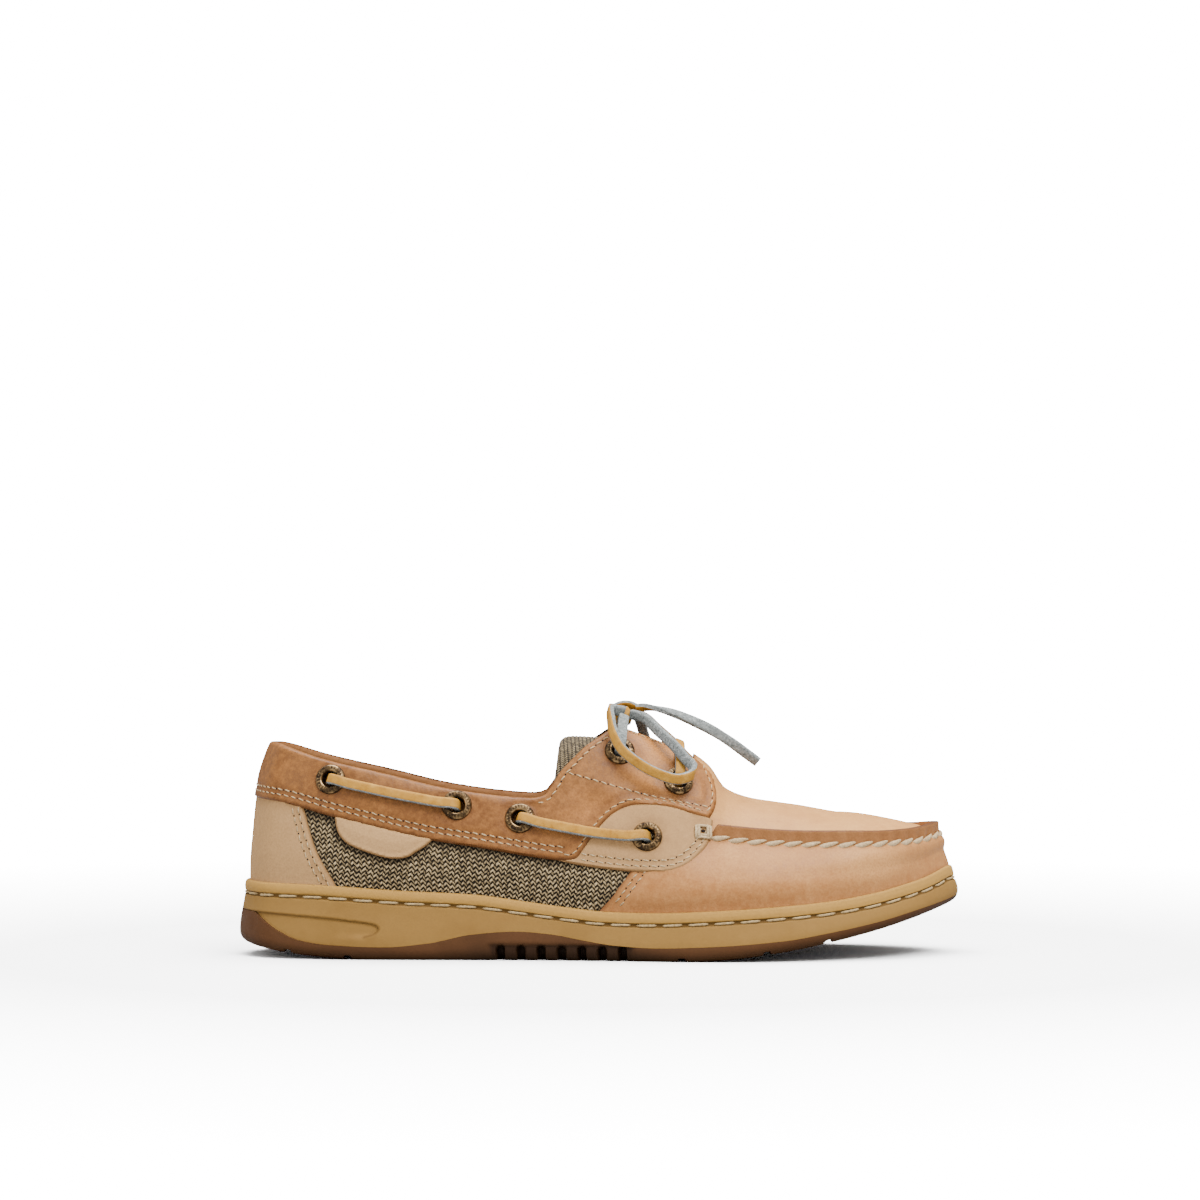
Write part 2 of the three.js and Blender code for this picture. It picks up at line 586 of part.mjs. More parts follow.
const shell = (low, high) => form(high).subtract(form(low));
const collarCut = sidePrism([...sideEdge(TOPLINE_REAR, 13), ...sideEdge(TOPLINE_FRONT, 8).slice(1),
  corner(sideX(0.545), BIG), corner(-BIG / 2, BIG)]);
const throatCut = planPrism([...smooth(THROAT.map(planPoint), 10)]);
const wingCut = planPrism([...smooth(WING_GAP.map(planPoint), 8)]);
const aboveRim = aboveLine(rimLine(RIM_CLEARANCE));
const half = (side) => box(0, (side * BIG) / 4, 0, BIG, BIG / 2, BIG);

const bandOutline = [...sideEdge(BAND_EDGE, 10), ...sideEdge(LOBE_EDGE, 12).slice(1),
  ...sideEdge(WING_FRONT, 5).slice(1), corner(sideX(0.65), BIG / 2), corner(sideX(-0.03), BIG / 2)];
const saddleOutline = [...sideEdge(SADDLE_EDGE, 11), corner(sideX(0.6), sideZ(0.6, 0.9)),
  corner(sideX(0.48), sideZ(0.48, 0.7))];
const bandSpace = sidePrism(grown(bandOutline, GAP));
const saddleSpace = sidePrism(grown(saddleOutline, GAP));

// Place on one side of the last with the given side-view share, with its outward direction
function sidePlace(side, at, up, offset) {
  const x = sideX(at);
  const z = sideZ(at, up);
  const from = side < 0 ? 0.5 : ROWS + 0.5;
  const miss = (w, v) => {
    const point = skin(w, v, offset);
    return Math.hypot(point.x - x, point.z - z);
  };
  let best = { w: from, v: 1, miss: Infinity };
  for (let w = from; w < from + ROWS - 1; w += 0.25) {
    for (let v = 1; v < CROWN_ROW; v += 0.25) {
      const distance = miss(w, v);
      if (distance < best.miss) best = { w, v, miss: distance };
    }
  }
  for (let step = 0.125; step > 0.0005; step /= 1.6) {
    for (const [dw, dv] of [[1, 0], [-1, 0], [0, 1], [0, -1], [1, 1], [-1, -1], [1, -1], [-1, 1]]) {
      const w = best.w + dw * step;
      const v = best.v + dv * step;
      const distance = miss(w, v);
      if (distance < best.miss) best = { w, v, miss: distance };
    }
  }
  return { ...best, point: skin(best.w, best.v, offset), normal: lastNormal(best.w, best.v) };
}

function standing(geometry, place) {
  const turn = new THREE.Quaternion().setFromUnitVectors(UP, place.normal);
  return geometry.applyQuaternion(turn).translate(place.point.x, place.point.y, place.point.z);
}

const eyeletPlaces = (side) => EYELETS.map((row) => sidePlace(side, row.at, row.up, SEATS[row.seat]));
const PLACES = { lateral: eyeletPlaces(-1), medial: eyeletPlaces(1) };

function eyeletHoles() {
  const radius = EYELET_HOLE / 2 + EYELET_WALL + GAP;
  const cutters = [...PLACES.lateral, ...PLACES.medial].map((place) => {
    const pin = new THREE.CylinderGeometry(radius, radius, 14, EYELET_SIDES).rotateX(Math.PI / 2);
    return solid(standing(pin, place));
  });
  return cutters.reduce((all, next) => all.add(next));
}

function eyelet(place, seat) {
  const bore = EYELET_HOLE / 2;
  const barrel = bore + EYELET_WALL;
  const flange = EYELET_FLANGE / 2;
  const foot = -seat - WALL;
  const profile = [[bore, foot], [barrel, foot], [barrel, GAP], [flange, GAP], [flange - 0.9, EYELET_PROUD],
    [bore + 0.3, EYELET_PROUD], [bore, foot]];
  const ring = new THREE.LatheGeometry(profile.map(([x, z]) => corner(x, z)), EYELET_SIDES).rotateX(Math.PI / 2);
  return solid(standing(ring, place));
}

const holes = eyeletHoles();

function upperSolid() {
  const vampRegion = sidePrism([...sideEdge(VAMP_EDGE, 8), ...sideEdge(VAMP_TOP, 6).slice(1),
    corner(BIG / 2, BIG / 2), corner(BIG / 2, -BIG / 2), corner(sideX(0.49), -BIG / 2)]);
  const vamp = vampForm(VAMP_STEP).intersect(vampRegion).intersect(aboveRim);
  const step = vamp.subtract(bandSpace).subtract(saddleSpace);
  return form(0).add(step).subtract(form(-WALL, CUP_DEPTH)).subtract(collarCut).subtract(throatCut).subtract(holes);
}

function tongueSolid() {
  const sag = (x) => TONGUE_SAG * clamp((sideX(0.62) - x) / (sideX(0.62) - sideX(0.44)), 0, 1) ** 1.3;
  const level = (depth) => ringSolid(PLAIN_ROWS.length, (w, j) => {
    const point = skin(w, PLAIN_ROWS[j], -depth);
    point.z -= sag(point.x);
    return point;
  });
  const outside = WALL + 0.4;
  const plan = planPrism([...smooth(TONGUE_PLAN.map(planPoint), 16)]);
  const back = sidePrism([...sideEdge(TONGUE_BACK, 10), corner(sideX(0.462), BIG), corner(BIG / 2, BIG),
    corner(BIG / 2, -BIG), corner(sideX(0.425), -BIG)]);
  return level(outside).subtract(level(outside + TONGUE_THICKNESS)).intersect(plan).intersect(back)
    .intersect(aboveLine([corner(-BIG / 2, HEEL_HEIGHT + 10), corner(BIG / 2, HEEL_HEIGHT + 10)]));
}

const bandShell = shell(GAP, SEATS.band).subtract(collarCut);
const band = bandShell.intersect(sidePrism(bandOutline)).subtract(wingCut).subtract(holes);
const saddle = shell(GAP, SEATS.saddle).intersect(sidePrism(saddleOutline)).subtract(bandSpace).subtract(holes);
const counterOutline = [...sideEdge(COUNTER_EDGE, 6), corner(-BIG / 2, -10), corner(-BIG / 2, sideZ(0, 0.8)),
  corner(sideX(0.078), sideZ(0.078, 0.8))];
const counter = shell(GAP, GAP + COUNTER_THICKNESS).intersect(sidePrism(counterOutline)).intersect(aboveRim)
  .subtract(bandSpace);
const tab = shell(GAP, GAP + TAB_THICKNESS).intersect(sidePrism(sideEdge(TAB_EDGE, 12), -BIG / 2, 0))
  .subtract(bandSpace);

// Flat thong along a route of places, each with its outward direction
function thong(route, width = LACE_WIDTH, thickness = LACE_THICKNESS) {
  const points = [];
  const triangles = [];
  route.forEach(({ point, normal }, k) => {
    const before = route[Math.max(k - 1, 0)].point;
    const after = route[Math.min(k + 1, route.length - 1)].point;
    const run = after.clone().sub(before).normalize();
    const across = run.clone().cross(normal).normalize();
    const up = across.clone().cross(run).normalize();
    for (const [a, b] of [[-1, -1], [1, -1], [1, 1], [-1, 1]]) {
      points.push(point.clone().addScaledVector(across, (a * width) / 2).addScaledVector(up, (b * thickness) / 2));
    }
  });
  for (let k = 0; k < route.length - 1; k += 1) {
    for (let m = 0; m < 4; m += 1) {
      const [a, b] = [4 * k + m, 4 * k + ((m + 1) % 4)];
      triangles.push([a, b, b + 4], [a, b + 4, a + 4]);
    }
  }
  const end = 4 * (route.length - 1);
  triangles.push([0, 2, 1], [0, 3, 2], [end, end + 1, end + 2], [end, end + 2, end + 3]);
  return solid(closedGeometry(points, triangles));
}

// Start of a lace run: up out of an eyelet's hole and over onto the run's direction
function risingStart(place, toward, lift) {
  const run = toward.clone().sub(place.point);
  run.addScaledVector(place.normal, -run.dot(place.normal)).normalize();
  const at = (along, out, lean) => ({
    point: place.point.clone().addScaledVector(run, along).addScaledVector(place.normal, out),
    normal: place.normal.clone().multiplyScalar(lean).addScaledVector(run, lean - 1).normalize(),
  });
  return [at(0, -1.2, 0), at(0, lift - 2.2, 0), at(0.35, lift - 1, 0.3), at(1.3, lift - 0.2, 0.7), at(2.8, lift, 1)];
}

// Run of lace over the outside of one side, between two of its eyelets
function sideRun(side, rear, front) {
  const [a, b] = [PLACES[side][rear], PLACES[side][front]];
  const lift = EYELET_PROUD + LACE_THICKNESS / 2 + GAP;
  const sign = side === "lateral" ? -1 : 1;
  const steps = 6;
  const middle = [];
  for (let k = 1; k < steps; k += 1) {
    const at = mix(EYELETS[rear].at, EYELETS[front].at, k / steps);
    const up = mix(EYELETS[rear].up, EYELETS[front].up, k / steps);
    middle.push(sidePlace(sign, at, up, SEATS.band + lift));
  }
  const first = risingStart(a, middle[0].point, lift);
  const final = risingStart(b, middle[middle.length - 1].point, lift).reverse();
  return thong([...first, ...middle, ...final]);
}

// Crossing between the front pair of eyelets, over the wings and straight across the throat
function crossing() {
  const rest = LACE_THICKNESS / 2 + GAP;
  const lift = EYELET_PROUD + rest;
  const climb = (place) => {
    const edge = place.v + 0.55 * (CROWN_ROW - place.v);
    return [[0.35, lift], [0.7, rest], [1, rest]].map(([share, height]) => {
      const v = mix(place.v, edge, share);
      return { point: skin(place.w, v, SEATS.band + height), normal: lastNormal(place.w, v) };
    });
  };
  const near = climb(PLACES.lateral[5]);
  const far = climb(PLACES.medial[5]);
  const first = risingStart(PLACES.lateral[5], near[0].point, lift);
  const final = risingStart(PLACES.medial[5], far[0].point, lift).reverse();
  return thong([...first, ...near, ...far.reverse(), ...final]);
}

// Riser from a rear throat eyelet to just under the knot
function riser(side) {
  const place = PLACES[side][4];
  const sign = side === "lateral" ? -1 : 1;
  const lift = EYELET_PROUD + LACE_THICKNESS / 2 + GAP + RISER_LIFT;
  const knot = new THREE.Vector3(KNOT_CENTRE.x, KNOT_CENTRE.y + sign * (KNOT_SIZE.y / 2 + 1), KNOT_CENTRE.z - 2.5);
  const climb = [0.3, 0.6, 0.85].map((share) => {
    const v = mix(place.v, CROWN_ROW, share * RISER_CLIMB);
    return { point: skin(place.w, v, SEATS.band + lift), normal: lastNormal(place.w, v) };
  });
  const start = risingStart(place, climb[0].point, lift);
  return thong([...start, ...climb, { point: knot, normal: climb[2].normal }]);
}

// Free lace above the throat
function cordTube(route) {
  const points = route.map(([x, y, z]) => new THREE.Vector3(x, y, z));
  const path = new THREE.CatmullRomCurve3(points, false, "centripetal");
  const section = new THREE.Shape();
  section.absarc(0, 0, CORD_DIAMETER / 2, 0, 2 * Math.PI, false);
  const sides = 8;
  const ring = new THREE.Shape(section.getSpacedPoints(sides).slice(0, sides));
  const steps = Math.round(path.getLength() / (2.7 * CORD_DIAMETER));
  return solid(new THREE.ExtrudeGeometry(ring, { steps, bevelEnabled: false, extrudePath: path }));
}

const FAR_LOOP_OUT = 0.9;
const mirrored = (route) => route.map(([x, y, z]) => [x, 2 * KNOT_CENTRE.y - y + FAR_LOOP_OUT, z]);

function knot() {
  const ball = new THREE.SphereGeometry(0.5, 10, 7).scale(KNOT_SIZE.x, KNOT_SIZE.y, KNOT_SIZE.z);
  return solid(ball.translate(KNOT_CENTRE.x, KNOT_CENTRE.y, KNOT_CENTRE.z));
}

addMesh("outsole", outsole, RED_RUBBER);
addMesh("midsole", midsole, TAN_FOAM);
addMesh("insole", insole, BROWN);
addMesh("upper", upperSolid(), KNIT);
addMesh("tongue", tongueSolid(), KNIT);
addMesh("collar_eyestay", band, BROWN);
addMesh("saddle_lateral", saddle.intersect(half(-1)), BEIGE);
addMesh("saddle_medial", saddle.intersect(half(1)), BEIGE);
addMesh("heel_counter", counter, BEIGE);
addMesh("side_tab", tab, BEIGE);

for (const side of ["lateral", "medial"]) {
  PLACES[side].forEach((place, k) => {
    addMesh(`eyelet_${side}_${k + 1}`, eyelet(place, SEATS[EYELETS[k].seat]), BRASS);
  });
  addMesh(`lace_${side}_rear`, sideRun(side, 0, 1), LACE);
  addMesh(`lace_${side}_front`, sideRun(side, 2, 3), LACE);
  addMesh(`lace_${side}_riser`, riser(side), LACE);
}
addMesh("lace_crossing", crossing(), LACE);
addMesh("lace_knot", knot(), LACE);
addMesh("lace_loop_near", cordTube(LOOP_ROUTE), LACE);
addMesh("lace_loop_far", cordTube(mirrored(LOOP_ROUTE)), LACE);
addMesh("lace_end_near", cordTube(END_ROUTE), LACE);
addMesh("lace_end_far", cordTube(FAR_END_ROUTE), LACE);

export default shoe;
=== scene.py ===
import math

import bpy
import bmesh
import numpy as np
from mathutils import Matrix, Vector


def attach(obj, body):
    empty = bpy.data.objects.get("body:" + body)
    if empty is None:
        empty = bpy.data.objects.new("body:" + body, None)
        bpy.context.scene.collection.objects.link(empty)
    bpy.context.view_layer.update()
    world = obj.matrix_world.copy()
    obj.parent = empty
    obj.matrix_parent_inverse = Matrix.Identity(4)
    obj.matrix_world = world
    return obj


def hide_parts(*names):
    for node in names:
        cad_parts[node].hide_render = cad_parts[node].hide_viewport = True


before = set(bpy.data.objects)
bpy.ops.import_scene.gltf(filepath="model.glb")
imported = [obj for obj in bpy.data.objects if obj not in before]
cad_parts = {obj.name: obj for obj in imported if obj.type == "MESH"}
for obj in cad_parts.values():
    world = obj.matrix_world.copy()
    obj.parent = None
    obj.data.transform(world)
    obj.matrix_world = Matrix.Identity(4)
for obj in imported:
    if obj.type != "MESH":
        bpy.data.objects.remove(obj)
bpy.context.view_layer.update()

# Boat shoe for the right foot. Shapes are worked out in millimetres and become metres in make().
MM = 0.001
BODY = "root"

# Main sizes
SOLE_LENGTH = 265.0
BALL_WIDTH = 94.0
HEEL_HEIGHT = 27.5
TOE_SPRING = 19.0
HEEL_SPRING = 5.0
HEEL_RISE = 52.0
INSTEP_RISE = 70.0
WALL = 2.0
GAP = 0.3
VAMP_STEP = 0.9
BAND_TOP = 2.1
SADDLE_TOP = 1.9
COUNTER_TOP = 1.4
TAB_TOP = 2.2
LIP_HEIGHT = 4.8
TONGUE_THICKNESS = 2.2
TONGUE_SAG = 9.5
UPPER_INSET = 4.25
UPPER_LENGTH = SOLE_LENGTH - 2 * UPPER_INSET
HEEL_TUCK = 0.85
HEEL_TUCK_END = 0.125
CUP_DEPTH = 5.0
INSOLE_THICKNESS = 3.5
CROWN_SHIFT = 2.0
EYELET_PROUD = 1.4
LACE_WIDTH = 3.7
LACE_THICKNESS = 2.0
# Radius of the holes round an eyelet's middle, in the panels and in the backing
EYELET_CUT = 3.3
BACKING_CUT = 4.2
# Low edge of the panels, below the last's surface
PANEL_FOOT = -0.35
# Insets of the sole's outline: under the cup, and at the rim
FOOT_INSET = 7.0
RIM_INSET = 2.2

# Plan of the sole: share of the length, and of half the ball width to the lateral and medial side
OUTLINE = np.array([
    (0, 0.04, -0.04), (0.034, 0.52, 0.45), (0.125, 0.71, 0.65), (0.225, 0.755, 0.67), (0.325, 0.775, 0.64),
    (0.425, 0.82, 0.63), (0.525, 0.895, 0.7), (0.625, 0.98, 0.84), (0.725, 0.99, 0.975),
    (0.825, 0.85, 0.965), (0.905, 0.63, 0.82), (0.968, 0.255, 0.54), (1, -0.15, 0.15),
])
# Rim of the midsole and top line of the outsole: share of the length, height over the heel height
RIM = np.array([
    (0.016, 1), (0.104, 0.98), (0.228, 0.905), (0.326, 0.858), (0.403, 0.764), (0.451, 0.702),
    (0.51, 0.644), (0.568, 0.633), (0.636, 0.655), (0.742, 0.72), (0.809, 0.775), (0.877, 0.876),
    (0.916, 0.96), (0.949, 1.04), (0.984, 1.164),
])
WAVE = np.array([
    (0, 0.61), (0.02, 0.605), (0.034, 0.516), (0.058, 0.37), (0.09, 0.244), (0.13, 0.19),
    (0.205, 0.167), (0.265, 0.218), (0.325, 0.335), (0.385, 0.378), (0.435, 0.342), (0.475, 0.273),
    (0.52, 0.207), (0.575, 0.178), (0.64, 0.196), (0.75, 0.276), (0.81, 0.367), (0.875, 0.487),
    (0.93, 0.615), (0.968, 0.7), (1, 0.778),
])
# Crown of the last above the rim: share of the length, height over the instep's rise
CROWN = np.array([
    (0.13, 1.1), (0.3, 1.07), (0.42, 1.045), (0.5, 1), (0.54, 0.935), (0.58, 0.87), (0.62, 0.8),
    (0.648, 0.72), (0.672, 0.592), (0.7, 0.54), (0.74, 0.5), (0.79, 0.455), (0.83, 0.41),
])
# Sections of the last: share of the length, rise, then how far out and how high the belly, the seam and
# the top lie
SECTIONS = np.array([
    (0, HEEL_RISE, 0.98, 0.27, 0.857, 0.77, 0.5, 0.6),
    (0.125, HEEL_RISE, 1.03, 0.23, 0.9, 0.77, 0.55, 0.6),
    (0.25, HEEL_RISE, 1.04, 0.25, 0.88, 0.73, 0.5, 0.62),
    (0.38, HEEL_RISE, 1.04, 0.23, 0.84, 0.69, 0.5, 0.66),
    (0.5, INSTEP_RISE, 1.03, 0.17, 0.83, 0.51, 0.48, 0.78),
    (0.56, INSTEP_RISE, 1.02, 0.157, 0.8, 0.51, 0.48, 0.8),
    (0.65, INSTEP_RISE, 1, 0.143, 0.77, 0.371, 0.48, 0.79),
    (0.7, INSTEP_RISE, 1, 0.136, 0.79, 0.333, 0.45, 0.73),
    (0.76, INSTEP_RISE, 0.985, 0.129, 0.8, 0.303, 0.45, 0.73),
    (0.82, INSTEP_RISE, 0.985, 0.121, 0.85, 0.276, 0.46, 0.72),
    (0.9, INSTEP_RISE, 0.98, 0.107, 0.91, 0.229, 0.47, 0.7),
    (0.96, INSTEP_RISE, 0.965, 0.089, 0.925, 0.186, 0.49, 0.67),
    (1, INSTEP_RISE, 0.958, 0.077, 0.92, 0.157, 0.5, 0.64),
])
HEEL_POLE = 0.13
TOE_POLE = 0.832
POLE_BLEND = 0.06

# Side-view outlines as pairs: share of the upper's length, height above the rim over the heel's rise
TOPLINE_REAR = [(-0.03, 1.03), (0.026, 0.992), (0.052, 0.965), (0.11, 0.885), (0.2, 0.815), (0.274, 0.745),
                (0.34, 0.716), (0.401, 0.732), (0.422, 0.766)]
TOPLINE_FRONT = [(0.422, 0.766), (0.432, 0.841), (0.443, 0.938), (0.46, 1.036), (0.479, 1.14),
                 (0.5, 1.224), (0.52, 1.3), (0.545, 1.42)]
BAND_EDGE = [(-0.03, 0.59), (0.004, 0.582), (0.058, 0.554), (0.114, 0.49), (0.174, 0.438), (0.222, 0.397),
             (0.265, 0.364), (0.331, 0.334), (0.411, 0.322), (0.452, 0.326)]
LOBE_EDGE = [(0.452, 0.326), (0.465, 0.344), (0.476, 0.406), (0.489, 0.505), (0.508, 0.627), (0.524, 0.694),
             (0.541, 0.733), (0.556, 0.742), (0.581, 0.738), (0.606, 0.713), (0.638, 0.659), (0.654, 0.633)]
WING_FRONT = [(0.654, 0.633), (0.663, 0.699), (0.667, 0.785), (0.664, 0.886), (0.656, 0.98), (0.65, 1.1)]
SADDLE_EDGE = [(0.434, 0.327), (0.462, 0.312), (0.492, 0.306), (0.541, 0.291), (0.573, 0.288),
               (0.597, 0.291), (0.618, 0.321), (0.634, 0.373), (0.651, 0.46), (0.656, 0.529), (0.66, 0.62)]
COUNTER_EDGE = [(0.078, 0.57), (0.098, 0.242), (0.133, -0.05)]
TAB_EDGE = [(0.125, 0.5), (0.129, 0.386), (0.142, 0.309), (0.167, 0.261), (0.197, 0.226), (0.215, 0.225),
            (0.229, 0.24), (0.241, 0.28), (0.255, 0.326), (0.27, 0.4)]
VAMP_EDGE = [(0.49, -0.05), (0.514, 0.085), (0.528, 0.183), (0.545, 0.3), (0.56, 0.4)]
VAMP_TOP = [(0.56, 0.4), (0.6, 0.6), (0.63, 0.9), (0.64, 1.6)]
# Plan-view outlines: share of the upper's length, half width over half the ball width
THROAT = [(0.3, 0.245), (0.55, 0.245), (0.585, 0.235), (0.61, 0.17), (0.622, 0)]
WING_GAP = [(0.3, 0.26), (0.55, 0.26), (0.63, 0.3), (0.655, 0.35), (0.68, 0.46)]
TONGUE_PLAN = [(0.4, 0.1), (0.405, 0.32), (0.44, 0.43), (0.53, 0.44), (0.68, 0.4), (0.7, 0.2)]
TONGUE_BACK = [(0.428, 0.6), (0.437, 0.95), (0.441, 1.1), (0.446, 1.16), (0.462, 1.2)]
LIP_START = 0.655
LIP_FULL = 0.666
EYELETS = [(0.119, 0.74, BAND_TOP), (0.298, 0.614, BAND_TOP), (0.387, 0.572, BAND_TOP),
           (0.566, 0.528, SADDLE_TOP), (0.528, 1.111, BAND_TOP), (0.611, 0.9, BAND_TOP)]

# Lace routes in metres: x, y, z
LOOP_ROUTE = [(0.0046, -0.0096, 0.0898), (0.0038, -0.017, 0.0894), (0.004, -0.0235, 0.0864),
              (0.005, -0.0286, 0.0815), (0.0078, -0.0318, 0.0762), (0.014, -0.0343, 0.071),
              (0.021, -0.0358, 0.0673), (0.028, -0.036, 0.0654), (0.0328, -0.034, 0.0668),
              (0.0336, -0.031, 0.0695), (0.031, -0.029, 0.0725), (0.027, -0.0255, 0.077),
              (0.0215, -0.0195, 0.082), (0.0164, -0.0116, 0.0866)]
END_ROUTE = [(0.0132, -0.002, 0.09), (0.0165, -0.002, 0.0905), (0.021, -0.003, 0.09),
             (0.027, -0.004, 0.0884), (0.034, -0.005, 0.0856), (0.041, -0.0055, 0.0822),
             (0.048, -0.006, 0.0778), (0.054, -0.006, 0.0734), (0.058, -0.006, 0.0704)]
FAR_END_ROUTE = [(0.009, 0.0045, 0.09), (0.0115, 0.0085, 0.09), (0.0135, 0.013, 0.088),
                 (0.015, 0.0175, 0.0845), (0.0163, 0.0215, 0.0803), (0.0176, 0.025, 0.0758),
                 (0.0186, 0.0276, 0.0716)]
KNOT_CENTRE = (0.008, -0.003, 0.0875)
FAR_LOOP_OUT = 0.0009
KNOT_Y = KNOT_CENTRE[1]
FAR_LOOP_ROUTE = [(x, 2 * KNOT_Y - y + FAR_LOOP_OUT, z) for x, y, z in LOOP_ROUTE]

ROWS = len(OUTLINE) - 1
RING = 2 * ROWS
SEAM_ROW = 3.0
CROWN_ROW = 5.0
BIG = 400.0


def mix(a, b, t):
    return a + (b - a) * t


def smoothstep(low, high, value):
    t = np.clip((value - low) / (high - low), 0, 1)
    return t * t * (3 - 2 * t)


def bell(value, centre, width):
    return np.exp(-((value - centre) / width) ** 2)


def unit(vectors):
    return vectors / np.maximum(np.linalg.norm(vectors, axis=-1, keepdims=True), 1e-9)


def run_along(points):
    """Distance covered up to each point of a path."""
    return np.concatenate([[0], np.cumsum(np.linalg.norm(np.diff(points, axis=0), axis=-1))])


def ticks_along(run, step):
    """Evenly spaced distances, about one step apart."""
    count = max(int(run[-1] / step), 2)
    return np.linspace(0, run[-1], count + 1)


def sampled(ticks, run, rows):
    """Rows read off at the given distances."""
    return np.stack([np.interp(ticks, run, rows[:, k]) for k in range(rows.shape[1])], -1)


# Forms of the last and the sole

def along(table, at, column=1):
    """Monotone cubic through one column of a table."""
    xs, ys = table[:, 0], table[:, column]
    secants = np.diff(ys) / np.diff(xs)
    product = secants[:-1] * secants[1:]
    total = np.where(product > 0, secants[:-1] + secants[1:], 1)
    inner = np.where(product > 0, 2 * product / total, 0)
    slopes = np.concatenate([secants[:1], inner, secants[-1:]])
    k = np.clip(np.searchsorted(xs, at) - 1, 0, len(xs) - 2)
    span = xs[k + 1] - xs[k]
    t = np.clip((at - xs[k]) / span, 0, 1)
    bend = (1 - t) * t * ((1 - t) * slopes[k] - t * slopes[k + 1])
    return mix(ys[k], ys[k + 1], t * t * (3 - 2 * t)) + span * bend


def catmull(a, b, c, d, t):
    return b + 0.5 * t * (c - a + (2 * a - 5 * b + 4 * c - d + (3 * (b - c) + d - a) * t) * t)


KNOT_ROW = [k if k <= ROWS else RING - k for k in range(RING)]
KNOT_X = np.array([OUTLINE[row, 0] - 0.5 for row in KNOT_ROW])
KNOT_SIDE = np.array([-OUTLINE[row, 1] if k <= ROWS else OUTLINE[row, 2] for k, row in enumerate(KNOT_ROW)])


def ring_share(w, values):
    turn = np.mod(w, RING)
    k = np.floor(turn).astype(int)
    around = [values[(k + step) % RING] for step in (-1, 0, 1, 2)]
    return catmull(*around, turn - k)


REACH = ring_share(np.arange(RING * 20) / 20, KNOT_SIDE)
RING_SCALE = BALL_WIDTH / (REACH.max() - REACH.min())
RING_MIDDLE = (REACH.max() + REACH.min()) / 2


def ring_x(w):
    return SOLE_LENGTH * ring_share(w, KNOT_X)


def ring_y(w):
    return RING_SCALE * (ring_share(w, KNOT_SIDE) - RING_MIDDLE)


def share(x):
    return x / SOLE_LENGTH + 0.5


def sole_x(at):
    return (at - 0.5) * SOLE_LENGTH


def rim_at(x):
    return HEEL_HEIGHT * along(RIM, share(x))


def wave_at(x):
    return HEEL_HEIGHT * along(WAVE, share(x))


def bottom_at(x):
    toe = np.clip((share(x) - 0.62) / 0.38, 0, None)
    heel = np.clip((0.2 - share(x)) / 0.2, 0, None)
    return TOE_SPRING * toe ** 1.6 + HEEL_SPRING * heel ** 2


def outline(w, inset):
    """Point of the plan outline, moved inward."""
    step = 0.02
    dx = ring_x(w + step) - ring_x(w - step)
    dy = ring_y(w + step) - ring_y(w - step)
    length = np.hypot(dx, dy)
    return ring_x(w) - inset * dy / length, ring_y(w) + inset * dx / length


def tuck_at(w):
    return HEEL_TUCK * np.clip(1 - share(ring_x(w)) / HEEL_TUCK_END, 0, 1)


def middle_y(x):
    at = share(x)
    return (along(OUTLINE, at, 2) - along(OUTLINE, at, 1)) * BALL_WIDTH / 4 + CROWN_SHIFT


def smooth_min(a, b, k):
    h = np.clip(0.5 + (b - a) / (2 * k), 0, 1)
    return mix(b, a, h) - k * h * (1 - h)


def crown_height(x):
    return rim_at(x) + INSTEP_RISE * along(CROWN, share(x))


def spine(w):
    """Point of the crown line above a place on the outline."""
    reach = POLE_BLEND * SOLE_LENGTH
    x = -smooth_min(-smooth_min(ring_x(w), sole_x(TOE_POLE), reach), -sole_x(HEEL_POLE), reach)
    return x, middle_y(x), crown_height(x)


def last(w, v):
    """Point of the last: w runs round it, v climbs from the feather edge (0) to the crown (5)."""
    foot_x, foot_y = outline(w, UPPER_INSET + tuck_at(w))
    crown_x, crown_y, crown_z = spine(w)
    at = share(ring_x(w))
    rise, belly_out, belly, seam_out, seam, top_out, top = (along(SECTIONS, at, c) for c in range(1, 8))
    rim = rim_at(foot_x)
    seam_z = rim + seam * rise
    top_z = mix(seam_z, crown_z, top)
    one = np.ones_like(at)
    outs = np.stack([one, one, one, belly_out, seam_out, top_out, 0 * one, -top_out])
    heights = np.stack([rim - 2 * CUP_DEPTH, rim - CUP_DEPTH, rim, rim + belly * rise,
                        seam_z, top_z, crown_z, top_z])
    k = np.clip(np.floor(v).astype(int), 0, int(CROWN_ROW) - 1)

    def pick(table):
        near = [np.take_along_axis(table, (k + n)[None], 0)[0] for n in range(4)]
        return catmull(*near, v - k)

    out = pick(outs)
    return np.stack([mix(crown_x, foot_x, out), mix(crown_y, foot_y, out), pick(heights)], -1)


def last_normal(w, v):
    step = 0.02
    below = np.minimum(v, CROWN_ROW - step)
    turn = last(w + step, below) - last(w - step, below)
    climb = last(w, below + step) - last(w, np.maximum(below - step, 0))
    x = spine(w)[0]
    level = np.stack([crown_height(x - 1) - crown_height(x + 1), 0 * x, 0 * x + 2], -1)
    return unit(np.where((v > CROWN_ROW - step)[..., None], level, np.cross(turn, climb)))


def skin(w, v, offset):
    return last(w, v) + last_normal(w, v) * np.asarray(offset)[..., None]


# Outlines in side view and plan view

def spline(points, count):
    points = np.asarray(points, float)
    n = len(points)
    t = np.linspace(0, n - 1, count + 1)
    k = np.clip(np.floor(t).astype(int), 0, n - 2)
    near = [points[np.clip(k + step, 0, n - 1)] for step in (-1, 0, 1, 2)]
    return catmull(*near, (t - k)[:, None])


def side_x(at):
    return (at - 0.5) * UPPER_LENGTH


def side_points(pairs):
    at, up = np.array(pairs, float).T
    x = side_x(at)
    return np.stack([x, rim_at(x) + up * HEEL_RISE], -1)


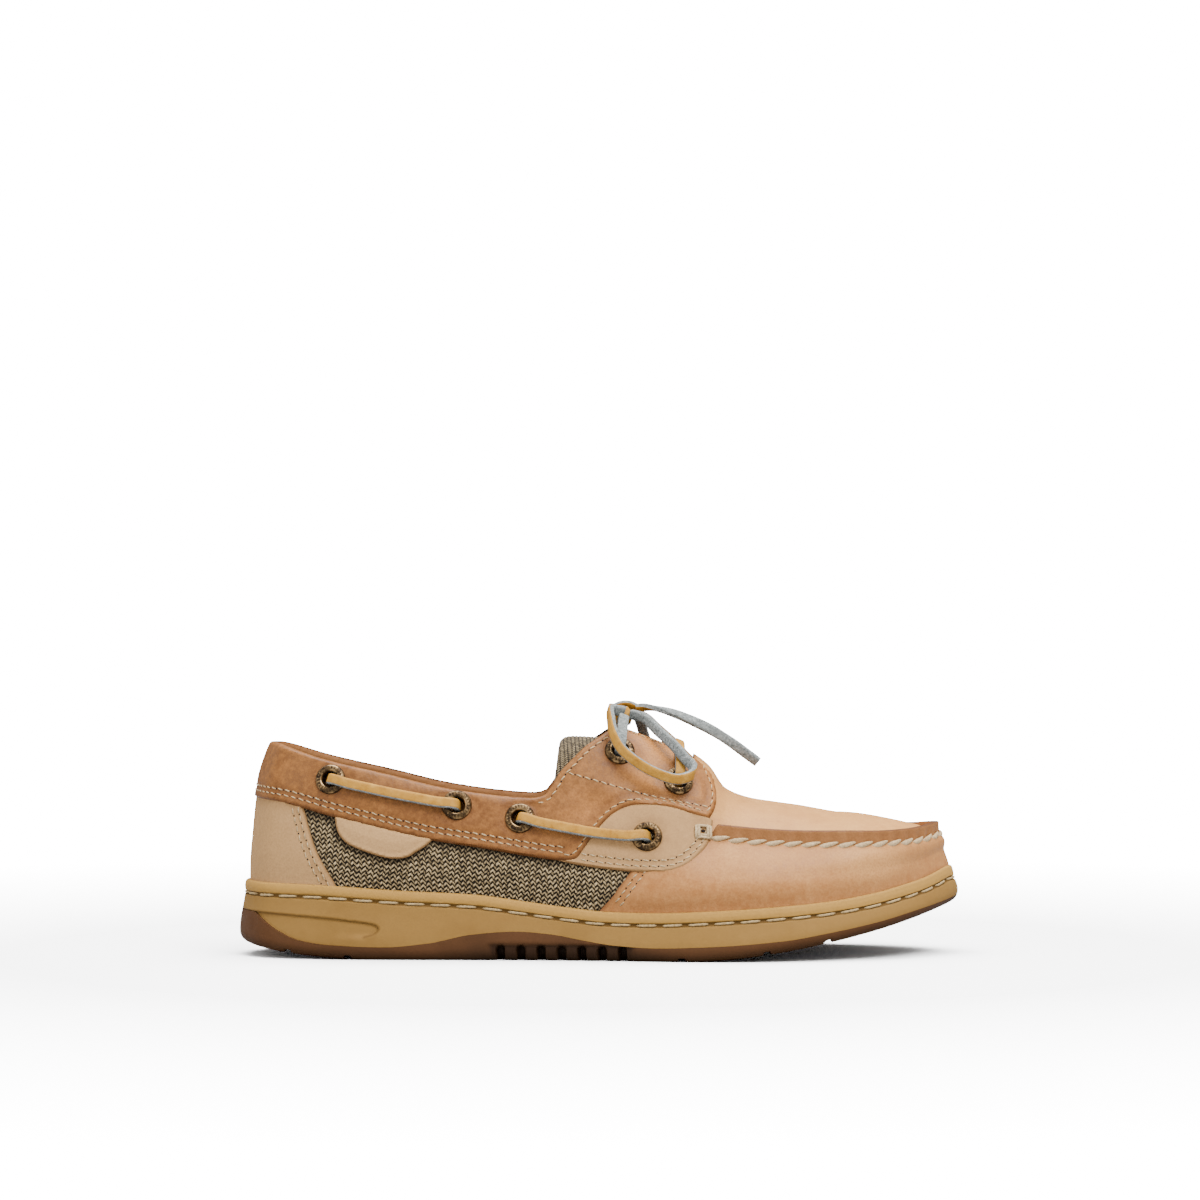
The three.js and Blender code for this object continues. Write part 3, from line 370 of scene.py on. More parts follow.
def side_curve(pairs):
    return spline(side_points(pairs), 8 * len(pairs))


def plan_curve(pairs):
    at, half = np.array(pairs, float).T
    return spline(np.stack([side_x(at), half * BALL_WIDTH / 2], -1), 8 * len(pairs))


def closed(*parts):
    return np.concatenate([np.atleast_2d(part) for part in parts])


def segment_gap(x, z, start, end):
    """Distance from the stretch between two points."""
    (ax, az), (ex, ez) = start, end - start
    t = np.clip(((x - ax) * ex + (z - az) * ez) / (ex * ex + ez * ez), 0, 1)
    return np.hypot(x - ax - t * ex, z - az - t * ez)


def polygon_distance(px, pz, polygon):
    """Signed distance to a polygon's edge, positive inside."""
    best = np.full(px.shape, 1e9)
    inside = np.zeros(px.shape, bool)
    for start, end in zip(polygon, np.roll(polygon, -1, axis=0)):
        (ax, az), (ex, ez) = start, end - start
        if ex * ex + ez * ez < 1e-12:
            continue
        best = np.minimum(best, segment_gap(px, pz, start, end))
        if ez:
            inside ^= ((az > pz) != (end[1] > pz)) & (px < ax + (pz - az) * ex / ez)
    return np.where(inside, best, -best)


TOP_CURVE = closed(side_curve(TOPLINE_REAR), side_curve(TOPLINE_FRONT)[1:])
TOP_POLYGON = closed(TOP_CURVE, (side_x(0.545), BIG), (-BIG / 2, BIG))
BAND_CURVE = closed(side_curve(BAND_EDGE), side_curve(LOBE_EDGE)[1:])
FRONT_CURVE = side_curve(WING_FRONT)
BAND_POLYGON = closed(BAND_CURVE, FRONT_CURVE[1:], (side_x(0.65), BIG / 2), (side_x(-0.03), BIG / 2))
SADDLE_CURVE = side_curve(SADDLE_EDGE)
SADDLE_POLYGON = closed(SADDLE_CURVE, side_points([(0.6, 0.9), (0.48, 0.7)]))
COUNTER_CURVE = side_curve(COUNTER_EDGE)
COUNTER_POLYGON = closed(COUNTER_CURVE, (-BIG / 2, -10), (-BIG / 2, 75), side_points([(0.078, 0.8)]))
TAB_POLYGON = side_curve(TAB_EDGE)
VAMP_CURVE = side_curve(VAMP_EDGE)
VAMP_POLYGON = closed(VAMP_CURVE, side_curve(VAMP_TOP)[1:], (BIG / 2, BIG / 2), (BIG / 2, -BIG / 2),
                      (side_x(0.49), -BIG / 2))


def half_polygon(pairs):
    curve = plan_curve(pairs)
    return closed(curve, (curve[-1, 0], -BIG), (curve[0, 0], -BIG))


THROAT_POLYGON = half_polygon(THROAT)
WING_POLYGON = half_polygon(WING_GAP)
TONGUE_POLYGON = half_polygon(TONGUE_PLAN)


def in_side(points, polygon):
    return polygon_distance(points[..., 0], points[..., 2], polygon)


def in_plan(points, polygon):
    x = points[..., 0]
    return polygon_distance(x, np.abs(points[..., 1] - middle_y(x)), polygon)


# Meshes

def numbered(*shape):
    return np.arange(math.prod(shape)).reshape(shape)


def strips(ids, after):
    """Quads between neighbouring lines of points, along the second axis."""
    return np.stack([ids[:, :-1], after[:, :-1], after[:, 1:], ids[:, 1:]], -1).reshape(-1, 4)


def cell_faces(sd):
    """Faces of a grid where the signed distance is not negative, split along the snapped border."""
    ids = numbered(*sd.shape)
    corners = [ids[:-1, :-1], ids[1:, :-1], ids[1:, 1:], ids[:-1, 1:]]
    values = np.stack([sd.reshape(-1)[c] for c in corners])
    low, high = values.min(0), values.max(0)
    whole = (low >= 0) & (high > 0)
    quads = np.stack([c[whole] for c in corners], -1)
    mixed = (low < 0) & (high > 0)

    def split(order):
        keep = mixed & (values[list(order)].min(0) >= 0) & (values[list(order)].max(0) > 0)
        return keep, np.stack([corners[k] for k in order], -1)

    one = [split((0, 1, 2)), split((0, 2, 3))]
    two = [split((0, 1, 3)), split((1, 2, 3))]
    first = one[0][0].astype(int) + one[1][0] >= two[0][0].astype(int) + two[1][0]
    triangles = [face[keep & first] for keep, face in one] + [face[keep & ~first] for keep, face in two]
    return quads.tolist() + np.concatenate(triangles).tolist()


def border(faces):
    """Directed edges that only one face uses."""
    edges = set()
    for face in faces:
        for a, b in zip(face, face[1:] + face[:1]):
            if (b, a) in edges:
                edges.discard((b, a))
            else:
                edges.add((a, b))
    return sorted(edges)


def snapped(ws, vs, distance):
    """Moves grid points beside the border onto it."""
    w, v = np.meshgrid(ws, vs, indexing="ij")
    sd = distance(w, v)
    along_w, along_v = np.gradient(sd)
    near = np.abs(sd) < 0.5 * (np.abs(along_w) + np.abs(along_v))
    pull = np.where(near, -sd / np.maximum(along_w ** 2 + along_v ** 2, 1e-9), 0)
    step_w = np.gradient(ws)[:, None]
    step_v = np.gradient(vs)[None, :]
    w = w + np.clip(pull * along_w, -0.7, 0.7) * step_w
    v = np.clip(v + np.clip(pull * along_v, -0.7, 0.7) * step_v, vs[0], vs[-1])
    return w, v, np.where(near, 0.0, sd)


def add(name, data):
    item = bpy.data.objects.new(name, data)
    bpy.context.scene.collection.objects.link(item)
    return item


def make(name, points, faces, materials, slot, nodes, values=None, merge=0.0, sharp=40, indices=None):
    """Mesh object from points in millimetres, riding on the shoe's body."""
    mesh = bpy.data.meshes.new(name)
    mesh.from_pydata((np.asarray(points) * MM).tolist(), [], faces)
    for key, data in (values or {}).items():
        attribute = mesh.attributes.new(key, "FLOAT", "POINT")
        attribute.data.foreach_set("value", np.asarray(data, np.float32).ravel())
    for material in materials:
        mesh.materials.append(material)
    if indices is not None:
        mesh.polygons.foreach_set("material_index", np.asarray(indices, np.int32))
    mesh.polygons.foreach_set("use_smooth", np.ones(len(mesh.polygons), bool))
    if merge:
        weld(mesh, merge * MM)
    if sharp:
        mesh.set_sharp_from_angle(angle=math.radians(sharp))
    mesh.update()
    piece = add(name, mesh)
    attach(piece, BODY)
    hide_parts(*nodes)
    return piece


def weld(mesh, distance):
    work = bmesh.new()
    work.from_mesh(mesh)
    bmesh.ops.remove_doubles(work, verts=work.verts, dist=distance)
    loose = [vert for vert in work.verts if not vert.link_faces]
    bmesh.ops.delete(work, geom=loose, context="VERTS")
    work.to_mesh(mesh)
    work.free()


def panel(name, ws, vs, distance, offset, low, materials, slot, nodes, inward=False, extra=None, sharp=50,
          place=skin):
    """Sheet on the last inside a region, with an edge that turns down to the low offset."""
    w, v, sd = snapped(ws, vs, distance)
    base = last(w, v)
    top = place(w, v, offset(base, w, v, sd))
    faces = cell_faces(sd)
    used = np.unique([k for face in faces for k in face])
    points = top.reshape(-1, 3)
    values = {"edge": np.clip(sd, 0, 20).reshape(-1)}
    for key, function in (extra or {}).items():
        values[key] = function(base, w, v, sd).reshape(-1)
    index = np.full(len(points), -1)
    index[used] = np.arange(len(used))
    faces = [[int(index[k]) for k in face] for face in faces]
    points = points[used]
    values = {key: data[used] for key, data in values.items()}
    if low is not None:
        foot = place(w, v, low).reshape(-1, 3)[used]
        edges = border(faces)
        ends = sorted({k for edge in edges for k in edge})
        lower = {k: len(points) + n for n, k in enumerate(ends)}
        points = np.concatenate([points, foot[ends]])
        values = {key: np.concatenate([data, data[ends]]) for key, data in values.items()}
        faces += [[b, a, lower[a], lower[b]] for a, b in edges]
    if inward:
        faces = [face[::-1] for face in faces]
    return make(name, points, faces, materials, slot, nodes, values, merge=0.02, sharp=sharp)


def even_ws(low, high, step):
    """Places round the shoe, spaced evenly along the upper's foot line."""
    fine = np.linspace(low, high, 4000)
    x, y = outline(fine, UPPER_INSET)
    run = np.concatenate([[0], np.cumsum(np.hypot(np.diff(x), np.diff(y)))])
    return np.interp(ticks_along(run, step), run, fine)


def both_halves(step, low):
    """Evenly spaced places that match on both sides: from w = low over the toe to its mirror image."""
    half = even_ws(low, ROWS, step)
    return np.concatenate([half, RING - half[-2::-1]])


def round_heel(step, high=ROWS):
    half = even_ws(0.0, high, step)
    return np.concatenate([-half[:0:-1], half])


def even_vs(low, high, step, at_w=5.0):
    fine = np.linspace(low, high, 400)
    run = run_along(last(np.full_like(fine, at_w), fine))
    return np.interp(ticks_along(run, step), run, fine)


# Finding places on the surface

def in_profile(points):
    return points[..., [0, 2]]


def in_top(points):
    x = points[..., 0]
    return np.stack([x, np.abs(points[..., 1] - middle_y(x))], -1)


def locate(side, targets, offset, project=in_profile):
    """Places (w, v) on one side of the last whose projected points meet the targets."""
    start = 0.3 if side < 0 else ROWS + 0.3
    w, v = np.meshgrid(np.arange(start, start + ROWS - 0.6, 0.12), np.arange(0.9, 4.95, 0.09), indexing="ij")
    w, v = w.ravel(), v.ravel()
    seen = project(skin(w, v, offset))
    best = ((targets[:, None, :] - seen[None]) ** 2).sum(-1).argmin(1)
    w, v = w[best], v[best]
    step = 0.01
    for _ in range(8):
        here = project(skin(w, v, offset))
        by_w = (project(skin(w + step, v, offset)) - here) / step
        by_v = (project(skin(w, v + step, offset)) - here) / step
        miss = targets - here
        det = by_w[:, 0] * by_v[:, 1] - by_w[:, 1] * by_v[:, 0]
        det = np.where(np.abs(det) < 1e-6, 1e-6, det)
        w = w + np.clip((miss[:, 0] * by_v[:, 1] - miss[:, 1] * by_v[:, 0]) / det, -0.15, 0.15)
        v = v + np.clip((by_w[:, 0] * miss[:, 1] - by_w[:, 1] * miss[:, 0]) / det, -0.15, 0.15)
        v = np.clip(v, 0.05, 4.97)
    return w, v


def eyelet_places():
    places = {}
    for label, side in (("lateral", -1), ("medial", 1)):
        rows = []
        for at, up, seat in EYELETS:
            w, v = locate(side, side_points([(at, up)]), seat)
            rows.append({"w": w[0], "v": v[0], "point": skin(w, v, seat)[0],
                         "normal": last_normal(w, v)[0]})
        places[label] = rows
    return places


PLACES = eyelet_places()
HOLE_CENTRES = np.array([row["point"] for rows in PLACES.values() for row in rows])


def from_holes(points):
    """Distance from the nearest eyelet's middle."""
    gaps = [np.linalg.norm(points - centre, axis=-1) for centre in HOLE_CENTRES]
    return np.min(gaps, axis=0)


# Soft creases: x and z in side view, lean, half length, half width and height in millimetres and degrees
BAND_CREASES = [(-36, 59, 80, 9, 5, 0.5), (-22, 60, 75, 10, 5, -0.5), (-66, 62, 10, 16, 4, 0.35),
                (-84, 70, -15, 14, 3, -0.35), (-8, 52, 35, 14, 4, -0.5), (4, 60, -30, 13, 4, 0.4),
                (22, 56, -35, 12, 3, -0.4), (-112, 66, 80, 10, 5, -0.3)]
VAMP_CREASES = [(62, 33, 75, 9, 6, 0.25), (76, 34, 80, 9, 5, -0.22), (92, 33, 70, 10, 6, 0.25),
                (45, 27, 60, 10, 6, -0.3), (30, 30, 55, 8, 5, 0.25)]
PLUG_CREASES = [(56, 54, 80, 12, 6, -0.15), (72, 52, 85, 12, 6, 0.12)]


def creases(points, rows):
    x, z = points[..., 0], points[..., 2]
    total = np.zeros(x.shape)
    for cx, cz, lean, length, width, height in rows:
        angle = math.radians(lean)
        run = (x - cx) * math.cos(angle) + (z - cz) * math.sin(angle)
        off = (z - cz) * math.cos(angle) - (x - cx) * math.sin(angle)
        total += height * np.exp(-(run / length) ** 2 - (off / width) ** 2)
    return total


def rolled(sd, reach, low, high):
    return low + (high - low) * np.sqrt(1 - (1 - np.clip(sd / reach, 0, 1)) ** 2)


# Materials

def make_tree(name):
    material = bpy.data.materials.new(name)
    material.use_nodes = True
    tree = material.node_tree
    return material, tree, tree.nodes["Principled BSDF"]


def plug(tree, item, inputs):
    """Links sockets to a node's inputs and sets its other inputs to values."""
    for key, value in inputs.items():
        if isinstance(value, bpy.types.NodeSocket):
            tree.links.new(value, item.inputs[key])
        else:
            item.inputs[key].default_value = value
    return item


def node(tree, kind, inputs=None, **settings):
    item = tree.nodes.new(kind)
    for key, value in settings.items():
        setattr(item, key, value)
    return plug(tree, item, inputs or {})


def noise(tree, scale, detail=3.0, rough=0.5):
    where = node(tree, "ShaderNodeTexCoord").outputs["Object"]
    return node(tree, "ShaderNodeTexNoise", {"Vector": where, "Scale": scale, "Detail": detail,
                                             "Roughness": rough}).outputs["Fac"]


def ramp(tree, factor, stops):
    item = node(tree, "ShaderNodeValToRGB", {"Fac": factor})
    band = item.color_ramp
    band.interpolation = "EASE"
    while len(band.elements) > 1:
        band.elements.remove(band.elements[0])
    for k, (position, color) in enumerate(stops):
        element = band.elements[0] if k == 0 else band.elements.new(position)
        element.position = position
        element.color = (*color, 1)
    return item.outputs["Color"]


def opaque(colour):
    return colour if isinstance(colour, bpy.types.NodeSocket) else (*colour, 1)


def blend(tree, factor, a, b):
    inputs = {0: factor, 6: opaque(a), 7: opaque(b)}
    return node(tree, "ShaderNodeMix", inputs, data_type="RGBA").outputs[2]


def attribute(tree, name):
    return node(tree, "ShaderNodeAttribute", attribute_name=name).outputs["Fac"]


def remap(tree, value, low, high, out_low=0.0, out_high=1.0):
    return node(tree, "ShaderNodeMapRange", {"Value": value, "From Min": low, "From Max": high,
                                             "To Min": out_low, "To Max": out_high}).outputs[0]


def bump(tree, height, strength, distance, normal=None):
    inputs = {"Height": height, "Strength": strength, "Distance": distance}
    if normal is not None:
        inputs["Normal"] = normal
    return node(tree, "ShaderNodeBump", inputs).outputs[0]


def leather(name, dark, base, light, edge, rough, grain=0.35, edge_width=1.6, spec=0.16):
    """Mottled leather: lighter by the tone attribute, which on the vamp is a painted highlight; darker by
    the press attribute, which holds pressed stitch rows and painted shade; and darker along the cut edges.
    """
    material, tree, shader = make_tree(name)
    cloud = noise(tree, 38.0, 5, 0.62)
    speck = noise(tree, 420, 3, 0.6)
    colour = ramp(tree, cloud, [(0.25, dark), (0.5, base), (0.85, light)])
    colour = blend(tree, remap(tree, attribute(tree, "tone_and_highlight"), 0.0, 1.0, 0.0, 0.8), colour, light)
    colour = blend(tree, remap(tree, attribute(tree, "press_and_shade"), 0.0, 1.0, 0.0, 0.7), colour, dark)
    colour = blend(tree, remap(tree, speck, 0.35, 0.7, 0.0, 0.4), colour, light)
    fine = noise(tree, 1300, 3, 0.7)
    colour = blend(tree, remap(tree, fine, 0.35, 0.6, 0.4, 0.0), colour, dark)
    border_mask = remap(tree, attribute(tree, "edge"), 0.0, edge_width, 0.85, 0.0)
    colour = blend(tree, border_mask, colour, edge)
    pores = node(tree, "ShaderNodeTexVoronoi", {"Vector": node(tree, "ShaderNodeTexCoord").outputs["Object"],
                                                "Scale": 1100.0}, feature="F1").outputs["Distance"]
    first = bump(tree, pores, grain, 0.00012)
    second = bump(tree, noise(tree, 260, 4, 0.6), grain * 0.6, 0.0003, first)
    plug(tree, shader, {"Base Color": colour, "Normal": second, "Specular IOR Level": spec,
                        "Roughness": remap(tree, speck, 0.3, 0.7, rough - 0.08, rough + 0.1)})
    return material


def rubber(name, dark, base, light, rough, grain, painted_shade_colour, groove, glow=None, painted_highlight_colour=None):
    material, tree, shader = make_tree(name)
    colour = ramp(tree, noise(tree, 30, 4, 0.6), [(0.3, dark), (0.55, base), (0.8, light)])
    # The glow attribute lightens toward a painted highlight colour, for faces lit from above.
    if glow:
        colour = blend(tree, attribute(tree, glow), colour, painted_highlight_colour)
    colour = blend(tree, remap(tree, noise(tree, 900, 3, 0.7), 0.35, 0.62, 0.2, 0.0), colour, dark)
    # The groove attribute darkens toward a painted shade colour: in recesses, and on the outsole near the
    # ground.
    colour = blend(tree, attribute(tree, groove), colour, painted_shade_colour)
    plug(tree, shader, {"Base Color": colour,
                        "Roughness": remap(tree, noise(tree, 200), 0.3, 0.7, rough - 0.06, rough + 0.08),
                        "Normal": bump(tree, noise(tree, 1400, 3, 0.7), grain, 0.0001),
                        "Specular IOR Level": 0.1})
    return material


def cloth(name, gap, yarn, bright):
    """Knit or weave: dark in the gaps, bright on the yarns, darker by the press attribute, which on the mesh
    is painted shade beside the panels that lie over it.
    """
    material, tree, shader = make_tree(name)
    fuzz = noise(tree, 1300, 3, 0.7)
    colour = ramp(tree, attribute(tree, "yarn"), [(0.2, gap), (0.45, yarn), (0.8, bright)])
    shade = attribute(tree, "tone_and_highlight")
    colour = blend(tree, remap(tree, shade, 0.0, 1.0, 0.3, 0.0), colour, gap)
    colour = blend(tree, remap(tree, attribute(tree, "press_and_shade"), 0.0, 1.0, 0.0, 0.72), colour, gap)
    colour = blend(tree, remap(tree, fuzz, 0.4, 0.65, 0.25, 0.0), colour, gap)
    plug(tree, shader, {"Base Color": colour, "Roughness": 0.9, "Specular IOR Level": 0.15,
                        "Sheen Weight": 0.1, "Normal": bump(tree, fuzz, 0.4, 0.00015)})
    return material


def plain(name, dark, base, light, rough, scale, grain=0.3, depth=0.0001, spec=0.3):
    material, tree, shader = make_tree(name)
    field = noise(tree, scale, 4, 0.65)
    plug(tree, shader, {"Base Color": ramp(tree, field, [(0.3, dark), (0.5, base), (0.7, light)]),
                        "Roughness": remap(tree, field, 0.3, 0.7, rough - 0.06, rough + 0.08),
                        "Normal": bump(tree, noise(tree, scale * 2, 3, 0.6), grain, depth),
                        "Specular IOR Level": spec})
    return material


def brass(name):
    material, tree, shader = make_tree(name)
    polish_and_highlight = attribute(tree, "polish_and_highlight")
    worn = blend(tree, remap(tree, noise(tree, 700, 3, 0.6), 0.4, 0.65, 0.0, 0.8), (0.022, 0.012, 0.006),
                 (0.09, 0.054, 0.022))
    clouds = remap(tree, noise(tree, 500, 2), 0.35, 0.6, 0.35, 1.0)
    patches = node(tree, "ShaderNodeMath", {0: polish_and_highlight, 1: clouds}, operation="MULTIPLY").outputs[0]
    # Raised parts take a painted highlight colour in noisy patches; the same attribute also makes them
    # smoother.
    colour = blend(tree, remap(tree, patches, 0.45, 0.9, 0.0, 1.0), worn, (0.3, 0.19, 0.085))
    plug(tree, shader, {"Base Color": colour, "Roughness": remap(tree, polish_and_highlight, 0.0, 1.0, 0.5, 0.32),
                        "Metallic": 0.9, "Normal": bump(tree, noise(tree, 1800, 3, 0.6), 0.3, 0.00008)})
    return material


VAMP_LEATHER = leather("vamp_leather", (0.26, 0.098, 0.027), (0.33, 0.138, 0.04), (0.5, 0.25, 0.088),
                       (0.13, 0.045, 0.012), rough=0.46)
# Lighter copy of the vamp leather for the upward-facing plug: painted top light.
PLUG_LEATHER_LIT = leather("plug_leather_lit", (0.36, 0.155, 0.045), (0.45, 0.215, 0.066), (0.55, 0.29, 0.094),
                       (0.2, 0.08, 0.022), rough=0.5)
BAND_LEATHER = leather("band_leather", (0.115, 0.041, 0.0105), (0.172, 0.07, 0.0185), (0.4, 0.162, 0.04),
                       (0.085, 0.029, 0.008), rough=0.44)
LIP_LEATHER = leather("lip_leather", (0.17, 0.064, 0.018), (0.23, 0.094, 0.03), (0.3, 0.135, 0.045),
                      (0.06, 0.022, 0.01), rough=0.5, edge_width=0.5)
BEIGE_LEATHER = leather("beige_leather", (0.27, 0.148, 0.06), (0.345, 0.195, 0.082), (0.43, 0.255, 0.11),
                        (0.19, 0.098, 0.036), rough=0.7, grain=0.3, edge_width=0.9, spec=0.1)
LINING_LEATHER = leather("lining_leather", (0.15, 0.06, 0.018), (0.21, 0.088, 0.028), (0.27, 0.125, 0.044),
                         (0.14, 0.052, 0.016), rough=0.6, spec=0.1)
SOCK_LEATHER = leather("sock_leather", (0.18, 0.09, 0.034), (0.23, 0.125, 0.05), (0.28, 0.16, 0.07),
                       (0.15, 0.07, 0.026), rough=0.6, spec=0.1)
# Midsole: the groove colour is painted shade; the glow colour is a painted highlight for the rim's top.
MIDSOLE_RUBBER = rubber("midsole_rubber", (0.19, 0.1, 0.024), (0.225, 0.122, 0.031), (0.26, 0.143, 0.038),
                        0.62, 0.25, (0.062, 0.03, 0.006), "groove", "glow", (0.4, 0.22, 0.05))
# Outsole: the groove colour is painted shade.
OUTSOLE_RUBBER = rubber("outsole_rubber", (0.056, 0.0235, 0.0085), (0.075, 0.0315, 0.0115),
                        (0.097, 0.042, 0.016), 0.6, 0.3, (0.013, 0.006, 0.0025), "groove")
KNIT = cloth("quarter_knit", (0.008, 0.005, 0.003), (0.21, 0.148, 0.071), (0.47, 0.355, 0.195))
TONGUE_KNIT = cloth("tongue_knit", (0.008, 0.005, 0.003), (0.12, 0.09, 0.046), (0.27, 0.205, 0.118))
TONGUE_LINING = plain("tongue_lining", (0.2, 0.19, 0.13), (0.26, 0.25, 0.17), (0.31, 0.3, 0.21),
                      0.85, 500.0)
BASE_CLOTH = plain("backing_cloth", (0.02, 0.013, 0.008), (0.03, 0.02, 0.012), (0.045, 0.03, 0.018),
                   0.9, 500.0)
THREAD = plain("cream_thread", (0.25, 0.17, 0.085), (0.39, 0.28, 0.155), (0.53, 0.4, 0.24),
               0.75, 1500.0, 0.5, spec=0.1)
SOLE_THREAD = plain("sole_thread", (0.22, 0.145, 0.065), (0.34, 0.24, 0.118), (0.46, 0.34, 0.18),
                    0.7, 1200.0, 0.5, spec=0.1)
# Near-black discs standing in for the shade inside needle holes: painted shade.
PINHOLE_SHADE = plain("pinhole_shade", (0.006, 0.003, 0.002), (0.012, 0.006, 0.003), (0.02, 0.01, 0.006), 0.9, 900.0)
GRAIN_SIDE = plain("lace_grain", (0.28, 0.125, 0.015), (0.35, 0.17, 0.024), (0.42, 0.22, 0.04),
                   0.5, 300.0, 0.25, spec=0.12)
FLESH_SIDE = plain("lace_flesh", (0.09, 0.1, 0.098), (0.18, 0.193, 0.187), (0.32, 0.335, 0.325),
                   0.85, 1100.0, 0.9, depth=0.0003, spec=0.1)
BRASS = brass("antique_brass")


# Swept pieces

def frames(paths, normals):
    run = unit(np.gradient(paths, axis=-2))
    across = unit(np.cross(run, normals))
    return run, across, unit(np.cross(across, run))


def tubes(paths, normals, radius, flat=1.0, sides=6, tip=0.25):
    """Joined round-ended tubes, one for each row of path points."""
    count, steps, _ = paths.shape
    _, across, up = frames(paths, normals)
    t = np.linspace(-1, 1, steps)
    radii = radius * np.maximum(np.sqrt(np.maximum(1 - t ** 8, 0)), tip)
    angle = np.arange(sides) * 2 * np.pi / sides
    ring = np.cos(angle)[:, None] * across[:, :, None, :] + flat * np.sin(angle)[:, None] * up[:, :, None, :]
    points = paths[:, :, None, :] + radii[None, :, None, None] * ring
    ids = numbered(count, steps, sides)
    quads = strips(ids, np.roll(ids, -1, axis=2))
    caps = np.concatenate([ids[:, 0, ::-1], ids[:, -1]])
    return points.reshape(-1, 3), quads.tolist() + caps.tolist()


def joined(parts):
    points, faces, start = [], [], 0
    for part_points, part_faces in parts:
        points.append(part_points)
        faces += [[k + start for k in face] for face in part_faces]
        start += len(part_points)
    return np.concatenate(points), faces


def ribbon(path, face, width=LACE_WIDTH, thickness=LACE_THICKNESS):
    """Strip with rounded edges; the first material is its grain side, toward the face direction."""
    _, across, up = frames(path[None], face[None])
    round_edge = 0.35
    a, b = width / 2, thickness / 2
    half = [(-a, -b + round_edge), (-a, 0), (-a, b - round_edge), (-a + round_edge, b), (-a / 2, b + 0.06),
            (0, b + 0.08), (a / 2, b + 0.06), (a - round_edge, b)]
    section = np.array(half + [(-s, -t) for s, t in half])
    points = path[:, None, :] + section[:, 0][None, :, None] * across[0][:, None, :]
    points = points + section[:, 1][None, :, None] * up[0][:, None, :]
    ids = numbered(len(path), len(section))
    quads = strips(ids[None], np.roll(ids, -1, axis=1)[None])[:, ::-1]
    grain = np.array([0 if 2 <= k <= 6 else 1 for k in range(len(section))])
    indices = np.tile(grain, len(path) - 1).tolist() + [1, 1]
    faces = quads.tolist() + [ids[0].tolist(), ids[-1, ::-1].tolist()]
    return points.reshape(-1, 3), faces, indices


def even_path(curve, step):
    run = run_along(curve)
    return sampled(ticks_along(run, step), run, curve)


def centripetal(points, steps):
    """Centripetal Catmull-Rom curve through points."""
    points = np.asarray(points, float)
    ends = np.concatenate([[2 * points[0] - points[1]], points, [2 * points[-1] - points[-2]]])
    curve = []
    for k in range(len(points) - 1):
        a, b, c, d = ends[k:k + 4]
        t1 = np.linalg.norm(b - a) ** 0.5
        t2 = t1 + np.linalg.norm(c - b) ** 0.5
        t3 = t2 + np.linalg.norm(d - c) ** 0.5
        t = np.linspace(t1, t2, steps, endpoint=False)[:, None]
        ab = (t1 - t) / t1 * a + t / t1 * b
        bc = (t2 - t) / (t2 - t1) * b + (t - t1) / (t2 - t1) * c
        cd = (t3 - t) / (t3 - t2) * c + (t - t2) / (t3 - t2) * d
        abc = (t2 - t) / t2 * ab + t / t2 * bc
        bcd = (t3 - t) / (t3 - t1) * bc + (t - t1) / (t3 - t1) * cd
        curve.append((t2 - t) / (t2 - t1) * abc + (t - t1) / (t2 - t1) * bcd)
    return np.concatenate(curve + [points[-1:]])


# Stitching

def inset_curve(curve, polygon, inset):
    run = np.gradient(curve, axis=0)
    run /= np.linalg.norm(run, axis=1, keepdims=True)
    normal = np.stack([-run[:, 1], run[:, 0]], -1)
    middle = len(curve) // 2
    probe = curve[middle] + normal[middle] * 0.5
    inside = polygon_distance(probe[:1], probe[1:], polygon)[0] > 0
    return curve + normal * (inset if inside else -inset)


STITCH_PITCH = 3.1
STITCH_LENGTH = 2.55
STITCH_RADIUS = 0.25
STITCH_SLANT = 0.24
PINHOLE_RADIUS = 0.34
WELL_INSIDE = 20.0


def stitch_row(w, v, offset):
    """Panel stitches, and dark discs of painted shade that stand for their needle holes, through places on a
    panel.
    """
    points = skin(w, v, offset(last(w, v), w, v, WELL_INSIDE))
    normals = last_normal(w, v)
    run = run_along(points)
    count = max(int(run[-1] / STITCH_PITCH), 1)
    starts = (np.arange(count) + 0.1) * run[-1] / count
    ticks = starts[:, None] + np.linspace(0, STITCH_LENGTH, 5)[None]
    dip = 0.5 * STITCH_RADIUS * np.array([-1.6, 0.75, 1, 0.75, -1.6])
    at, up = sampled(ticks, run, points), unit(sampled(ticks, run, normals))
    across = frames(at, up)[1] * (STITCH_SLANT * np.linspace(-1, 1, 5))[None, :, None]
    thread = tubes(at + across + up * dip[None, :, None], up, STITCH_RADIUS, 0.85)
    gaps = starts + STITCH_LENGTH + (run[-1] / count - STITCH_LENGTH) / 2
    hole_ticks = gaps[:, None] + np.linspace(-0.3, 0.3, 3)[None]
    hole_at, hole_up = sampled(hole_ticks, run, points), unit(sampled(hole_ticks, run, normals))
    return thread, tubes(hole_at + hole_up * 0.02, hole_up, PINHOLE_RADIUS, 0.3, tip=0.6)


def height_row(ws, polygon, inset, top):
    """Heights at one distance inside a panel's lower edge, round the heel as well."""
    low, high = np.full(ws.shape, 1.2), np.full(ws.shape, 3.6)
    for _ in range(26):
        middle = (low + high) / 2
        under = in_side(skin(ws, middle, top), polygon) < inset
        low, high = np.where(under, middle, low), np.where(under, high, middle)
    return low


# Upper

def below_top(points):
    return -in_side(points, TOP_POLYGON)


def band_distance(w, v):
    points = skin(w, v, BAND_TOP)
    sd = np.minimum(in_side(points, BAND_POLYGON), below_top(points))
    sd = np.minimum(sd, -in_plan(points, WING_POLYGON))
    return np.minimum(sd, from_holes(points) - EYELET_CUT)


def dimples(points):
    return -0.45 * bell(from_holes(points), 4.0, 3.2)


